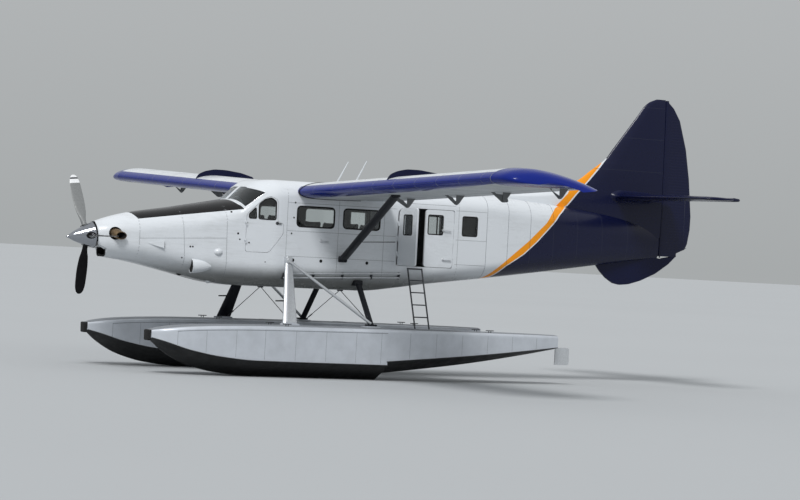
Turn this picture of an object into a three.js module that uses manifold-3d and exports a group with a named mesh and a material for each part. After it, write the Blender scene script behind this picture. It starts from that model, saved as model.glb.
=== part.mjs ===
// A single-engine turboprop floatplane with a high strut-braced wing, in millimetres.
// X runs aft, Y to starboard, Z up. All stations are measured from the datum: the wing's leading edge
// at its root, on the centre line. The last lines move the whole so that the origin lies on the floor.
import * as THREE from 'three';
import { mergeVertices } from 'three/addons/utils/BufferGeometryUtils.js';
import Module from 'manifold-3d';

const wasm = await Module();
wasm.setup();

// Driving dimensions.
const SEAM = 0.3;                       // gap between faces that touch
const ALL_X = 20000;                    // past every end of the object
const DOOR_GAP = 8;                     // slot round a door
const NOSE_X = -4464;                   // spinner tip
const TAIL_X = 9801;                    // rudder's trailing edge
const KEEL_Z = -3550;                   // bottom of the float keels
const MID_X = (NOSE_X + TAIL_X) / 2;

const HALF_WIDTH = 850;                 // cabin
const WALL = 40;
const FIREWALL_X = -1450;
const BULKHEAD_X = 4350;                // rear wall of the cabin
const TAIL_POST_X = 9000;
const SILL_Z = -1330;                   // top of the belly, which is the cabin floor
const CANT_Z = -60;                     // joint between the side walls and the roof
const SPLIT_Z = -970;                   // joint between the cowl halves

const SPAN_HALF = 8845;
const CHORD = 1980;
const DIHEDRAL = Math.tan(THREE.MathUtils.degToRad(2.25));
const ROOT_RISE = 30;                   // leading edge above the datum at the fuselage side
const INCIDENCE = THREE.MathUtils.degToRad(2.5);
const AEROFOIL = { camber: 0.04, peak: 0.4, thickness: 0.165 };
const WING_ROOT_Y = 560;                // inside the roof, where the fuselage trims it
const TIP_JOINT_Y = 8200;
const LIP_X = 1500;                     // rear edge of the wing's upper skin, over the slot
const SPAR_X = 1360;                    // wing's rear face, in front of flap and aileron
const FLAP_NOSE_X = 1450;
const FLAP_Y = [875, 5030];             // inner and outer end
const AILERON_Y = [5060, 8170];
const HINGE_X = 1520;                   // flap and aileron hinge, on the brackets' tips
const HINGE_DROP = 260;                 // below the leading edge's height

const THRUST_TILT = 0.11;               // the thrust line points down at the nose
const THRUST_Z = -1077;                 // spinner tip
const SPINNER = { length: 540, radius: 248 };
const BLADE = { station: 430, radius: 1330, hub: 262, count: 3, first: 30 };

const FLOAT_Y = 1556;                   // middle of each float
const FRONT_STRUT_X = -370;             // foot of the front strut
const REAR_STRUT_X = 1400;              // foot of the rear strut
const STEP_X = 1500;

const FIN_TOP_Z = 2496;
const TAILPLANE_Z = 370;
const TAILPLANE_HALF = 3230;
const RUDDER_HINGE_X = 9060;
const ELEVATOR_HINGE_X = 8720;

const CABIN_DOOR = { front: 2246, split: 2864, rear: 3530, top: -157, bottom: -1305, open: 84 };

// Colours and finishes.
const paint = (color, roughness = 0.35, metalness = 0) =>
  new THREE.MeshStandardMaterial({ color, roughness, metalness });
const WHITE = paint(0xe8e9ea);
const NAVY = paint(0x1a2150);
const BLUE = paint(0x27357f);
const GREY = paint(0xb9bcc0, 0.5);
const BLACK = paint(0x17181b, 0.6);
const ALLOY = paint(0xb4b8bb, 0.45, 0.8);
const STEEL = paint(0x8d8880, 0.4, 0.9);
const CHROME = paint(0xd9dadc, 0.12, 1);
const GLASS = paint(0x2c3338, 0.1);
const RUBBER = paint(0x141414, 0.85);
const SEAT = paint(0x23252a, 0.8);

// Solids and booleans.
const group = new THREE.Group();

const solid = (geometry) => {
  const bare = geometry.clone();
  bare.deleteAttribute('normal');
  bare.deleteAttribute('uv');
  const merged = mergeVertices(bare, 0.001);
  return new wasm.Manifold(new wasm.Mesh({
    numProp: 3,
    vertProperties: Float32Array.from(merged.attributes.position.array),
    triVerts: Uint32Array.from(merged.index.array),
  }));
};

const geometryOf = (shape) => {
  const mesh = shape.getMesh();
  const geometry = new THREE.BufferGeometry();
  geometry.setAttribute('position', new THREE.BufferAttribute(Float32Array.from(mesh.vertProperties), 3));
  geometry.setIndex(new THREE.BufferAttribute(Uint32Array.from(mesh.triVerts), 1));
  geometry.computeVertexNormals();
  return geometry;
};

const place = (name, material, shape) => {
  const mesh = new THREE.Mesh(geometryOf(shape), material);
  mesh.name = name;
  group.add(mesh);
  return shape;
};

const join = (...shapes) => shapes.reduce((sum, shape) => sum.add(shape));

const cut = (shape, ...tools) => tools.reduce((rest, tool) => rest.subtract(tool), shape);

const mirror = (shape) => shape.mirror([0, 1, 0]);

const box = (x0, x1, y0, y1, z0, z1) => {
  const geometry = new THREE.BoxGeometry(x1 - x0, y1 - y0, z1 - z0);
  geometry.translate((x0 + x1) / 2, (y0 + y1) / 2, (z0 + z1) / 2);
  return solid(geometry);
};

// A round bar from one point to another.
const rod = (from, to, radius, sides = 10, radiusTo = radius) => {
  const a = new THREE.Vector3(...from);
  const b = new THREE.Vector3(...to);
  const geometry = new THREE.CylinderGeometry(radiusTo, radius, a.distanceTo(b), sides);
  const along = b.clone().sub(a).normalize();
  geometry.applyQuaternion(new THREE.Quaternion().setFromUnitVectors(new THREE.Vector3(0, 1, 0), along));
  geometry.translate(...a.add(b).divideScalar(2).toArray());
  return solid(geometry);
};

// A side-view outline of [x, z] points, carried across from y0 to y1.
const prism = (outline, y0, y1) => {
  const shape = new THREE.Shape(outline.map(([x, z]) => new THREE.Vector2(x, z)));
  const geometry = new THREE.ExtrudeGeometry(shape, { depth: y1 - y0, bevelEnabled: false });
  geometry.rotateX(Math.PI / 2);
  geometry.translate(0, y1, 0);
  return solid(geometry);
};

// A skin over rings with equal numbers of points, closed by a cap at each end. The caps are
// flattened along the named axis.
const loft = (rings, axis) => {
  const [u, v] = { x: ['y', 'z'], y: ['x', 'z'], z: ['x', 'y'] }[axis];
  const count = rings[0].length;
  const position = rings.flat().flatMap((p) => p.toArray());
  const index = [];
  for (let r = 0; r + 1 < rings.length; r += 1) {
    for (let i = 0; i < count; i += 1) {
      const a = r * count + i;
      const b = r * count + ((i + 1) % count);
      index.push(a, b, b + count, a, b + count, a + count);
    }
  }
  const flat = (ring) => ring.map((p) => new THREE.Vector2(p[u], p[v]));
  const ways = THREE.ShapeUtils.area(flat(rings[0])) < 0;
  const cap = (ring, first, turned) => {
    for (const [a, b, c] of THREE.ShapeUtils.triangulateShape(flat(ring), [])) {
      index.push(...(turned ? [first + c, first + b, first + a] : [first + a, first + b, first + c]));
    }
  };
  cap(rings[0], 0, !ways);
  cap(rings.at(-1), (rings.length - 1) * count, ways);
  const geometry = new THREE.BufferGeometry();
  geometry.setAttribute('position', new THREE.BufferAttribute(new Float32Array(position), 3));
  geometry.setIndex(index);
  if (signedVolume(position, index) < 0) {
    geometry.setIndex(index.reverse());
  }
  return solid(geometry);
};

const signedVolume = (position, index) => {
  const corner = (i) => new THREE.Vector3().fromArray(position, 3 * i);
  let volume = 0;
  for (let i = 0; i < index.length; i += 3) {
    volume += corner(index[i]).dot(corner(index[i + 1]).cross(corner(index[i + 2])));
  }
  return volume;
};

// A faired strut: each end is an oval of chord by thickness about its point. Its thickness lies
// along Y for an upright strut (axis z) and along Z for one that leans out (axis y).
const fairedStrut = (ends, axis) => loft(ends.map(({ at, chord, thick }) => {
  const ring = [];
  for (let i = 0; i < 12; i += 1) {
    const angle = (i / 12) * 2 * Math.PI;
    const x = at[0] + (chord / 2) * Math.cos(angle);
    const off = (thick / 2) * Math.sin(angle);
    ring.push(axis === 'z' ? new THREE.Vector3(x, at[1] + off, at[2]) : new THREE.Vector3(x, at[1], at[2] + off));
  }
  return ring;
}), axis);

// Fuselage sections: station, half width, top, bottom, then the top corners' and bottom corners'
// breadth and height. Each corner is a quarter ellipse.
const SECTIONS = [
  // x, half, top, bottom, topY, topZ, lowY, lowZ
  [-3990, 240, -782, -1363, 238, 240, 225, 255],
  [-3920, 270, -755, -1380, 268, 260, 250, 270],
  [-3750, 345, -690, -1420, 343, 300, 320, 320],
  [-3290, 450, -560, -1478, 448, 370, 400, 360],
  [-2350, 575, -395, -1655, 540, 420, 480, 420],
  [FIREWALL_X, 700, -228, -1825, 600, 430, 480, 440],
  [-1150, 738, -172, -1850, 640, 380, 470, 440],
  [-885, 776, 74, -1850, 600, 420, 460, 440],
  [-650, 808, 208, -1850, 520, 400, 450, 440],
  [-330, HALF_WIDTH, 245, -1850, 420, 360, 450, 440],
  [1600, HALF_WIDTH, 245, -1850, 400, 340, 450, 440],
  [2500, HALF_WIDTH, 230, -1750, 400, 340, 440, 400],
  [3000, HALF_WIDTH, 224, -1672, 400, 340, 430, 350],
  [BULKHEAD_X, 745, 205, -1505, 380, 330, 400, 330],
  [5900, 540, 125, -1305, 350, 420, 330, 380],
  [7250, 335, 10, -1118, 250, 480, 240, 400],
  [8300, 165, -140, -965, 140, 360, 130, 320],
  [TAIL_POST_X - 12, 55, -330, -868, 50, 240, 45, 220],
];

const fuselageRing = ([x, half, top, bottom, topY, topZ, lowY, lowZ], inset) => {
  const corners = [
    // side, centre height, corner breadth, corner height, first quarter turn
    { side: 1, level: top - topZ, y: topY, z: topZ, from: 0 },
    { side: -1, level: top - topZ, y: topY, z: topZ, from: 1 },
    { side: -1, level: bottom + lowZ, y: lowY, z: lowZ, from: 2 },
    { side: 1, level: bottom + lowZ, y: lowY, z: lowZ, from: 3 },
  ];
  const steps = 5;
  return corners.flatMap(({ side, level, y, z, from }) =>
    Array.from({ length: steps + 1 }, (_, i) => {
      const angle = (from + i / steps) * (Math.PI / 2);
      return new THREE.Vector3(x, side * (half - y) + (y - inset) * Math.cos(angle),
        level + (z - inset) * Math.sin(angle));
    }));
};

const fuselage = (fromX, toX, inset = 0) => {
  const rows = SECTIONS.filter(([x]) => x >= fromX && x <= toX);
  const starboard = loft(rows.map((row) => fuselageRing(row, inset)), 'x')
    .intersect(box(-ALL_X, ALL_X, 0, ALL_X, -ALL_X, ALL_X));
  return join(starboard, mirror(starboard));
};

const slabZ = (z0, z1) => box(-ALL_X, ALL_X, -ALL_X, ALL_X, z0, z1);
const halfSide = (y0, y1) => box(-ALL_X, ALL_X, y0, y1, -ALL_X, ALL_X);

// Cabin: a hollow body cut into belly, side walls and roof. The windows and doors are cut through.
const cabinOuter = fuselage(FIREWALL_X, BULKHEAD_X);
const cabinShell = cabinOuter.subtract(fuselage(FIREWALL_X, BULKHEAD_X, WALL))
  .subtract(box(FIREWALL_X - 1, FIREWALL_X + 1, -600, 600, -1300, -300));
const fuselageGap = fuselage(FIREWALL_X, TAIL_POST_X, -SEAM);

const DOOR_SHAPE = [[-1040, -1185], [-1040, -460], [-870, -300], [-700, -145], [-560, -88], [-430, -160],
  [-420, -580], [-295, -610], [-290, -800], [-570, -1180]];
const QUARTER_PANE = [[-990, -530], [-995, -455], [-868, -325], [-850, -530]];
const MAIN_PANE = [[-800, -535], [-803, -255], [-690, -160], [-565, -118], [-465, -186], [-458, -538]];
const WINDSHIELD = [[-1160, -178], [-1180, -130], [-905, 125], [-872, 68], [-640, -14], [-1066, -333]];
const rectangle = (x0, x1, z0, z1, r) => [[x0 + r, z0], [x1 - r, z0], [x1, z0 + r], [x1, z1 - r],
  [x1 - r, z1], [x0 + r, z1], [x0, z1 - r], [x0, z0 + r]];
const WINDOWS = [
  // front, rear, bottom, top, corner
  [0, 810, -640, -250, 50],
  [1020, 1828, -630, -250, 50],
  [3747, 4102, -640, -264, 16],
];
const FRONT_LEAF_WINDOW = [2415, 2700, -690, -300, 16];
const REAR_LEAF_WINDOW = [2930, 3268, -648, -268, 16];
const STARBOARD_DOOR = { front: 2500, rear: 3270 };
const STARBOARD_WINDOW = [2700, 3080, -648, -268, 16];
const STARBOARD_PANE = [2045, 2400, -640, -264, 16];    // in the wall, in front of the starboard door

const grown = (outline, by) => {
  const centre = outline.reduce((sum, [x, z]) => [sum[0] + x / outline.length, sum[1] + z / outline.length], [0, 0]);
  return outline.map(([x, z]) => {
    const away = new THREE.Vector2(x - centre[0], z - centre[1]);
    away.setLength(away.length() + by * 1.3);
    return [centre[0] + away.x, centre[1] + away.y];
  });
};
const windowHole = (x0, x1, z0, z1, corner, y0, y1) => prism(rectangle(x0, x1, z0, z1, corner), y0, y1);

const OUT = [500, 1200];                // starboard cutting range; port is its mirror
const cockpitDoorHole = prism(grown(DOOR_SHAPE, DOOR_GAP), ...OUT);
const windowHoles = WINDOWS.map((row) => windowHole(...row, ...OUT));
const POST_HALF = 45;                   // windshield's centre post
const windshieldHole = prism(WINDSHIELD, POST_HALF, 1000);
const doorBlock = (front, rear, slot) =>
  box(front - slot, rear + slot, ...OUT, CABIN_DOOR.bottom - slot, CABIN_DOOR.top + slot);
// The freight door's upper front corner is cut back on a curve: back from the front edge, down from the top.
const DOOR_CORNER = [[0, 128], [16, 66], [64, 21], [134, 4], [184, 0]];
const cornerCut = (slot) => prism([
  ...DOOR_CORNER.map(([back, down]) => [CABIN_DOOR.front - slot + back, CABIN_DOOR.top + slot - down]),
  [CABIN_DOOR.front + 184, CABIN_DOOR.top + 60], [CABIN_DOOR.front - 60, CABIN_DOOR.top + 60],
  [CABIN_DOOR.front - 60, CABIN_DOOR.top - 128],
], ...OUT);

// The roof piece takes in the scuttle in front of the windshield, joined by the centre post.
const scuttle = (gap) => box(FIREWALL_X - 10, -900 + gap, -560 - gap, 560 + gap, -420, 0);
const roofZone = join(slabZ(CANT_Z + SEAM, ALL_X), scuttle(0));
const sideSlab = cabinShell.intersect(slabZ(SILL_Z + SEAM, CANT_Z)).subtract(scuttle(SEAM));
const sideStarboard = cut(sideSlab.intersect(halfSide(0, ALL_X)), cockpitDoorHole, windshieldHole, ...windowHoles);
const sidePort = mirror(sideStarboard);

// Hinges: knuckles outside the skin on an upright axis. A plate joins each to its panel.
const HINGE_RADIUS = 10;
const knuckle = (x, y, z, toX) => join(
  rod([x, y, z - 25], [x, y, z + 25], HINGE_RADIUS),
  box(Math.min(x, toX), Math.max(x, toX), Math.min(y, y - Math.sign(y) * 22), Math.max(y, y - Math.sign(y) * 22),
    z - 25, z + 25),
);
const hingeLine = (x, y, levels, doorX, wallX) => ({
  moving: join(...levels.map((z) => knuckle(x, y, z, doorX))),
  fixed: join(...levels.map((z) => knuckle(x, y, z + 50 + SEAM, wallX))),
});
const COCKPIT_HINGE = { x: -1043, y: 771, levels: [-1000, -660] };
const cockpitHinge = hingeLine(COCKPIT_HINGE.x, COCKPIT_HINGE.y, COCKPIT_HINGE.levels, -1015, -1075);
const LEAF_HINGE_Y = HALF_WIDTH + 11;
const LEAF_LEVELS = [-1100, -800, -500];
const frontLeafHinge = hingeLine(CABIN_DOOR.front - 3, -LEAF_HINGE_Y, LEAF_LEVELS,
  CABIN_DOOR.front + 30, CABIN_DOOR.front - 35);
const REAR_HINGE_Y = 822;
const rearLeafHinge = hingeLine(CABIN_DOOR.rear + 3, -REAR_HINGE_Y, LEAF_LEVELS,
  CABIN_DOOR.rear - 30, CABIN_DOOR.rear + 35);
const starboardHinge = hingeLine(STARBOARD_DOOR.front - 3, LEAF_HINGE_Y, LEAF_LEVELS,
  STARBOARD_DOOR.front + 30, STARBOARD_DOOR.front - 35);

place('cabin_side_port', WHITE, join(
  cut(sidePort, mirror(doorBlock(CABIN_DOOR.front, CABIN_DOOR.rear, DOOR_GAP).subtract(cornerCut(DOOR_GAP)))),
  mirror(cockpitHinge.fixed), frontLeafHinge.fixed, rearLeafHinge.fixed,
));
place('cabin_side_starboard', WHITE, join(
  cut(sideStarboard, doorBlock(STARBOARD_DOOR.front, STARBOARD_DOOR.rear, DOOR_GAP),
    windowHole(...STARBOARD_PANE, ...OUT)),
  cockpitHinge.fixed, starboardHinge.fixed,
));
place('cabin_roof', WHITE, cut(
  cabinShell.intersect(roofZone), windshieldHole, mirror(windshieldHole),
));
place('cabin_belly', WHITE, cabinOuter.intersect(slabZ(-ALL_X, SILL_Z)));

// Doors, each as thick as the wall.
const doorWall = sideSlab.intersect(halfSide(0, ALL_X));
const cockpitDoor = join(
  cut(doorWall.intersect(prism(DOOR_SHAPE, ...OUT)), prism(QUARTER_PANE, ...OUT), prism(MAIN_PANE, ...OUT)),
  cockpitHinge.moving,
);
place('cockpit_door_starboard', WHITE, cockpitDoor);
place('cockpit_door_port', WHITE, mirror(cockpitDoor));

const leaf = (front, rear, window) => cut(
  doorWall.intersect(doorBlock(front, rear, 0)), windowHole(...window, ...OUT),
);
const rearLeaf = mirror(leaf(CABIN_DOOR.split + DOOR_GAP / 2, CABIN_DOOR.rear, REAR_LEAF_WINDOW));
place('cabin_door_port_rear', WHITE, join(rearLeaf, rearLeafHinge.moving));
place('cabin_door_starboard', WHITE, join(
  leaf(STARBOARD_DOOR.front, STARBOARD_DOOR.rear, STARBOARD_WINDOW), starboardHinge.moving,
));

// The front leaf stands open, turned outwards about its hinge.
const frontLeaf = join(
  mirror(leaf(CABIN_DOOR.front, CABIN_DOOR.split - DOOR_GAP / 2, FRONT_LEAF_WINDOW).subtract(cornerCut(0))),
  frontLeafHinge.moving,
);
place('cabin_door_port_front', WHITE, frontLeaf
  .translate([3 - CABIN_DOOR.front, LEAF_HINGE_Y, 0])
  .rotate([0, 0, -CABIN_DOOR.open])
  .translate([CABIN_DOOR.front - 3, -LEAF_HINGE_Y, 0]));

// Glass: a sheet behind the windshield's two openings, and one behind each side's row of windows.
const GLASS_THICKNESS = 6;
const liner = fuselage(FIREWALL_X, BULKHEAD_X, WALL + SEAM)
  .subtract(fuselage(FIREWALL_X, BULKHEAD_X, WALL + SEAM + GLASS_THICKNESS));
place('windshield_glass', GLASS, liner.intersect(prism(grown(WINDSHIELD, 25), -900, 900)));
const cabinGlass = (rear) => liner.intersect(box(WINDOWS[0][0] - 30, rear + 30, ...OUT, -665, -225));
place('cabin_glass_starboard', GLASS, cabinGlass(STARBOARD_PANE[1]));
place('cabin_glass_port', GLASS, mirror(cabinGlass(WINDOWS[1][1])));

// Firewall with the instrument panel on it.
const firewallPlate = fuselage(FIREWALL_X - 300, 0, WALL + SEAM)
  .intersect(box(FIREWALL_X, FIREWALL_X + 32, -800, 800, SILL_Z + SEAM, 200));
place('firewall', GREY, join(
  firewallPlate,
  box(FIREWALL_X + 30, -1120, -560, 560, -690, -440),
  box(FIREWALL_X + 30, -1150, -110, 110, SILL_Z + SEAM, -600),
));

// Seats: two in the cockpit, and rows in the cabin on two floor rails.
const seat = (x, y, width, top) => join(
  box(x, x + 400, y - width / 2, y + width / 2, -960, -860),
  loft([[x + 330, -880], [x + 400, top]].map(([sx, sz]) => [
    new THREE.Vector3(sx, y - width / 2, sz), new THREE.Vector3(sx + 90, y - width / 2, sz),
    new THREE.Vector3(sx + 90, y + width / 2, sz), new THREE.Vector3(sx, y + width / 2, sz),
  ]), 'z'),
);
const seatLegs = (x, y, width) => box(x + 60, x + 340, y - width / 4, y + width / 4, SILL_Z + 25, -950);
place('pilot_seats', SEAT, join(
  ...[-340, 340].map((y) => join(seat(-700, y, 460, -420), seatLegs(-700, y, 460))),
  box(-640, -380, -450, 450, SILL_Z + SEAM, SILL_Z + 40),
));
const SEAT_ROWS = [120, 960, 1800];
place('cabin_seats', SEAT, join(
  ...SEAT_ROWS.flatMap((x) => [-430, 430].map((y) => join(seat(x, y, 640, -500), seatLegs(x, y, 640)))),
  ...[-430, 430].map((y) => box(SEAT_ROWS[0] + 40, SEAT_ROWS[2] + 380, y - 60, y + 60, SILL_Z + SEAM, SILL_Z + 40)),
  box(SEAT_ROWS[1] + 100, SEAT_ROWS[1] + 300, -430, 430, SILL_Z + SEAM, SILL_Z + 40),
));

// Engine, exhausts and shaft along the tilted thrust line.
const onThrustLine = (shape) => shape
  .rotate([0, -THREE.MathUtils.radToDeg(THRUST_TILT), 0])
  .translate([NOSE_X, 0, THRUST_Z]);
const shaftEnd = SPINNER.length + 60;
const EXHAUST = { x: -3610, z: -966, hole: 124, wall: 9 };
const EXHAUST_RINGS = [
  // out from the middle, x, z, half length, half height
  [150, -3625, -950, 84, 84],
  [380, -3608, -966, 96, 90],
  [520, -3545, -1003, 106, 72],
];
const exhaustLoft = (rings, inset) => loft(rings.map(([y, x, z, halfX, halfZ]) =>
  Array.from({ length: 16 }, (_, i) => {
    const angle = (i / 16) * 2 * Math.PI;
    return new THREE.Vector3(x + (halfX - inset) * Math.cos(angle), y, z + (halfZ - inset) * Math.sin(angle));
  })), 'y');
const exhaust = exhaustLoft(EXHAUST_RINGS, 0)
  .subtract(exhaustLoft([[400, -3599, -971, 97, 87], [530, -3540, -1006, 107, 71]], EXHAUST.wall));
place('engine', STEEL, join(
  onThrustLine(join(
    box(shaftEnd + SEAM + 90, 1000, -190, 190, -160, 150),
    box(990, 2300, -230, 230, -240, 220),
    rod([shaftEnd + SEAM, 0, 0], [shaftEnd + 120, 0, 0], 150, 16),
  )),
  exhaust, mirror(exhaust),
  box(-2450, FIREWALL_X - SEAM, -180, 180, -900, -640),
));

// Cowl: two halves of a hollow nose, open at the firewall, with the exhaust and intake openings.
const cowlCutter = onThrustLine(box(SPINNER.length + 14, 3400, -900, 900, -1200, 1200));
const cowlOuter = fuselage(-4000, FIREWALL_X).intersect(cowlCutter)
  .intersect(box(-ALL_X, FIREWALL_X - SEAM, -ALL_X, ALL_X, -ALL_X, ALL_X));
const COWL_WALL = 24;
const cowlCavity = fuselage(-4000, FIREWALL_X, COWL_WALL)
  .intersect(onThrustLine(box(SPINNER.length + 40, 3600, -900, 900, -1200, 1200)));
const INTAKE = { halfWidth: 185, top: -1245, bottom: -1388 };
const CHIN = { front: -3737, top: -1225, wall: 40 };  // the nose's underside starts behind the spinner
const exhaustHoles = rod([EXHAUST.x, -900, EXHAUST.z], [EXHAUST.x, 900, EXHAUST.z], EXHAUST.hole, 20);
const chinCorner = (by) => box(-ALL_X, CHIN.front + by, -900, 900, -ALL_X, CHIN.top + by);
const cowl = cut(cowlOuter, chinCorner(0), cowlCavity.subtract(chinCorner(CHIN.wall)), exhaustHoles,
  onThrustLine(rod([SPINNER.length - 40, 0, 0], [SPINNER.length + 100, 0, 0], 160, 20)),
  box(CHIN.front - 10, CHIN.front + 200, -INTAKE.halfWidth, INTAKE.halfWidth, INTAKE.bottom, INTAKE.top));
const scoop = (x0, x1, z, radius, y0, y1) => cut(
  rod([x0, y0, z], [x1, y1, z], radius, 14, radius * 0.75),
  rod([x0 - 10, y0, z], [x0 + 60, y0, z], radius - 12, 14),
);
place('cowl_upper', WHITE, cowl.intersect(slabZ(SPLIT_Z + SEAM, ALL_X)));
place('cowl_lower', WHITE, join(
  cowl.intersect(slabZ(-ALL_X, SPLIT_Z)),
  scoop(-2080, -1690, -1512, 108, -560, -590).subtract(cowlCavity),
  scoop(-1665, -1490, -1222, 80, -640, -650).subtract(cowlCavity),
));

// Spinner with a stub of shaft, and three feathered blades.
const SPINNER_PROFILE = [
  // radius, distance aft of the tip
  [28, 40], [82, 130], [150, 275], [205, 405], [236, 490], [SPINNER.radius, 525], [SPINNER.radius, SPINNER.length],
];
const spinnerCone = (gap) => solid(new THREE.LatheGeometry(
  [[0, 0], ...SPINNER_PROFILE.map(([r, along]) => [r + gap, along]), [0, SPINNER.length]]
    .map(([r, along]) => new THREE.Vector2(r, along)), 28).rotateZ(-Math.PI / 2));
place('spinner', CHROME, onThrustLine(join(
  spinnerCone(0),
  rod([SPINNER.length - 5, 0, 0], [shaftEnd, 0, 0], 60, 14),
)));
const BLADE_SECTIONS = [
  // radius, chord, thickness
  [BLADE.hub - 4, 100, 96],
  [360, 120, 80],
  [520, 190, 40],
  [800, 225, 26],
  [1080, 215, 18],
  [1250, 160, 14],
  [1318, 80, 10],
  [BLADE.radius, 30, 8],
];
for (let i = 0; i < BLADE.count; i += 1) {
  const blade = loft(BLADE_SECTIONS.map(([radius, chord, thick]) => Array.from({ length: 12 }, (_, k) => {
    const angle = (k / 12) * 2 * Math.PI;
    return new THREE.Vector3(BLADE.station + (chord / 2) * Math.cos(angle), (thick / 2) * Math.sin(angle), radius);
  })), 'z');
  const turn = -(BLADE.first + (i * 360) / BLADE.count);
  const neck = rod([BLADE.station, 0, 210], [BLADE.station, 0, BLADE.hub], 48, 12);
  const turned = join(blade, neck).rotate([turn, 0, 0]);
  place(`propeller_blade_${i + 1}`, BLACK, onThrustLine(turned.subtract(spinnerCone(SEAM))));
}

// Tail cone, fin and ventral fin.
const TAIL_HATCH = { front: 60, end: 8200, halfWidth: 200, bottom: -1100, top: -500 };
place('tail_cone', NAVY, cut(
  fuselage(BULKHEAD_X, TAIL_POST_X),
  fuselage(BULKHEAD_X, TAIL_POST_X, WALL)
    .intersect(box(BULKHEAD_X + TAIL_HATCH.front, TAIL_HATCH.end, -ALL_X, ALL_X, -ALL_X, ALL_X)),
  box(BULKHEAD_X - 10, BULKHEAD_X + TAIL_HATCH.front + 10, -TAIL_HATCH.halfWidth, TAIL_HATCH.halfWidth,
    TAIL_HATCH.bottom, TAIL_HATCH.top),
).translate([SEAM, 0, 0]));
const FIN_SECTIONS = [
  // height, leading edge, half thickness
  [-700, 7000, 70],
  [0, 5000, 100],
  [190, 4440, 104],
  [240, 4560, 102],
  [290, 5300, 98],
  [350, 5900, 94],
  [420, 6250, 91],
  [520, 6600, 88],
  [650, 6905, 86],
  [867, 7205, 84],
  [1153, 7585, 78],
  [1334, 7723, 74],
  [1810, 8095, 62],
  [2111, 8328, 52],
  [2322, 8492, 42],
  [2415, 8613, 34],
  [FIN_TOP_Z - 14, 8780, 24],
];
const finRing = (z, lead, halfThick, rear) => {
  const chord = rear - lead;
  const shape = [[0, 0], [0.02, 0.35], [0.08, 0.7], [0.25, 1], [0.6, 0.95], [1, 0.75]];
  const near = shape.map(([c, t]) => new THREE.Vector3(lead + c * chord, t * halfThick, z));
  const far = shape.slice(1).reverse().map(([c, t]) => new THREE.Vector3(lead + c * chord, -t * halfThick, z));
  return [...near, ...far];
};
const TAILPLANE_REAR_X = 8655;
const TAILPLANE_SECTIONS = [
  // half span, leading edge, half thickness
  [TAILPLANE_HALF - 15, 8420, 16],
  [TAILPLANE_HALF - 90, 8130, 34],
  [TAILPLANE_HALF - 260, 7985, 42],
  [120, 7800, 66],
];
const tailplane = (grow) => {
  const starboard = TAILPLANE_SECTIONS.map(([y, lead, thick]) =>
    finRing(0, lead - grow, thick + grow, TAILPLANE_REAR_X + grow)
      .map((p) => new THREE.Vector3(p.x, y, TAILPLANE_Z + p.y)));
  const port = starboard.map((ring) => ring.map((p) => new THREE.Vector3(p.x, -p.y, p.z)));
  return loft([...port, ...starboard.reverse()], 'y');
};
const hingeBlock = box(ELEVATOR_HINGE_X - 22, ELEVATOR_HINGE_X + 22, -120, 120, TAILPLANE_Z - 22, TAILPLANE_Z + 22);
const tailConeGap = fuselage(BULKHEAD_X, TAIL_POST_X, -SEAM).translate([SEAM, 0, 0]);
const fin = join(
  cut(loft(FIN_SECTIONS.map(([z, lead, thick]) => finRing(z, lead, thick, TAIL_POST_X)), 'z')
    .subtract(slabZ(-ALL_X, -450)),
  tailplane(SEAM)),
  hingeBlock,
);
place('fin', NAVY, fin.subtract(tailConeGap));
place('tailplane', NAVY, tailplane(0));

const PIN_SEAT_Z = -866;                // rudder's lower pin stands here
const VENTRAL = [[7467, -1040], [7467, -1100], [7560, -1210], [7715, -1350], [7898, -1455], [8070, -1485],
  [8300, -1462], [8597, -1375], [8968, -1210], [9286, -995], [9478, -800], [9482, -782], [9105, -845],
  [9100, PIN_SEAT_Z], [9000, PIN_SEAT_Z], [8900, -820], [7800, -950]];
place('ventral_fin', NAVY, prism(VENTRAL, -24, 24).subtract(tailConeGap));

// Rudder: a wedge with a round nose about its hinge, trimmed to the side outline.
const RUDDER_OUTLINE = [[8990, -842], [9476, -757], [9690, -665], [9746, -543], [9796, -241],
  [TAIL_X, 44], [9711, 825], [9593, 1459], [9400, 2066], [9230, 2310], [9090, 2430], [8995, 2470]];
const wedge = (nose, radius, tail, thick) => {
  const ring = [];
  for (let i = 0; i <= 6; i += 1) {
    const angle = Math.PI / 2 + (i / 6) * Math.PI;
    ring.push([nose + radius * Math.cos(angle), radius * Math.sin(angle)]);
  }
  ring.push([tail, -thick], [tail, thick]);
  return ring;
};
const rudderBody = loft([-900, 2600].map((z) => wedge(RUDDER_HINGE_X, 48, TAIL_X, 7)
  .map(([x, y]) => new THREE.Vector3(x, y, z))), 'z');
const rudderPin = rod([RUDDER_HINGE_X, 0, PIN_SEAT_Z + SEAM], [RUDDER_HINGE_X, 0, -780], 14);
place('rudder', NAVY, join(
  rudderBody.intersect(prism(RUDDER_OUTLINE, -60, 60)), rudderPin,
));

// Elevators: the same wedge laid flat, with a pin to the fin's hinge block.
const ELEVATOR_OUTLINE = [[ELEVATOR_HINGE_X, 132], [9170, 132], [8985, 2880], [8900, 3060], [ELEVATOR_HINGE_X, 3120]];
const elevatorPlan = (() => {
  const shape = new THREE.Shape([...ELEVATOR_OUTLINE, [8600, 3120], [8600, 132]]
    .map(([x, y]) => new THREE.Vector2(x, y)));
  return solid(new THREE.ExtrudeGeometry(shape, { depth: 400, bevelEnabled: false }).translate(0, 0, TAILPLANE_Z - 200));
})();
const elevatorBody = loft([100, 3200].map((y) => wedge(ELEVATOR_HINGE_X, 40, 9200, 5)
  .map(([x, z]) => new THREE.Vector3(x, y, TAILPLANE_Z + z))), 'y');
const elevator = join(
  elevatorBody.intersect(elevatorPlan),
  rod([ELEVATOR_HINGE_X, 120 + SEAM, TAILPLANE_Z], [ELEVATOR_HINGE_X, 140, TAILPLANE_Z], 16),
);
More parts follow.
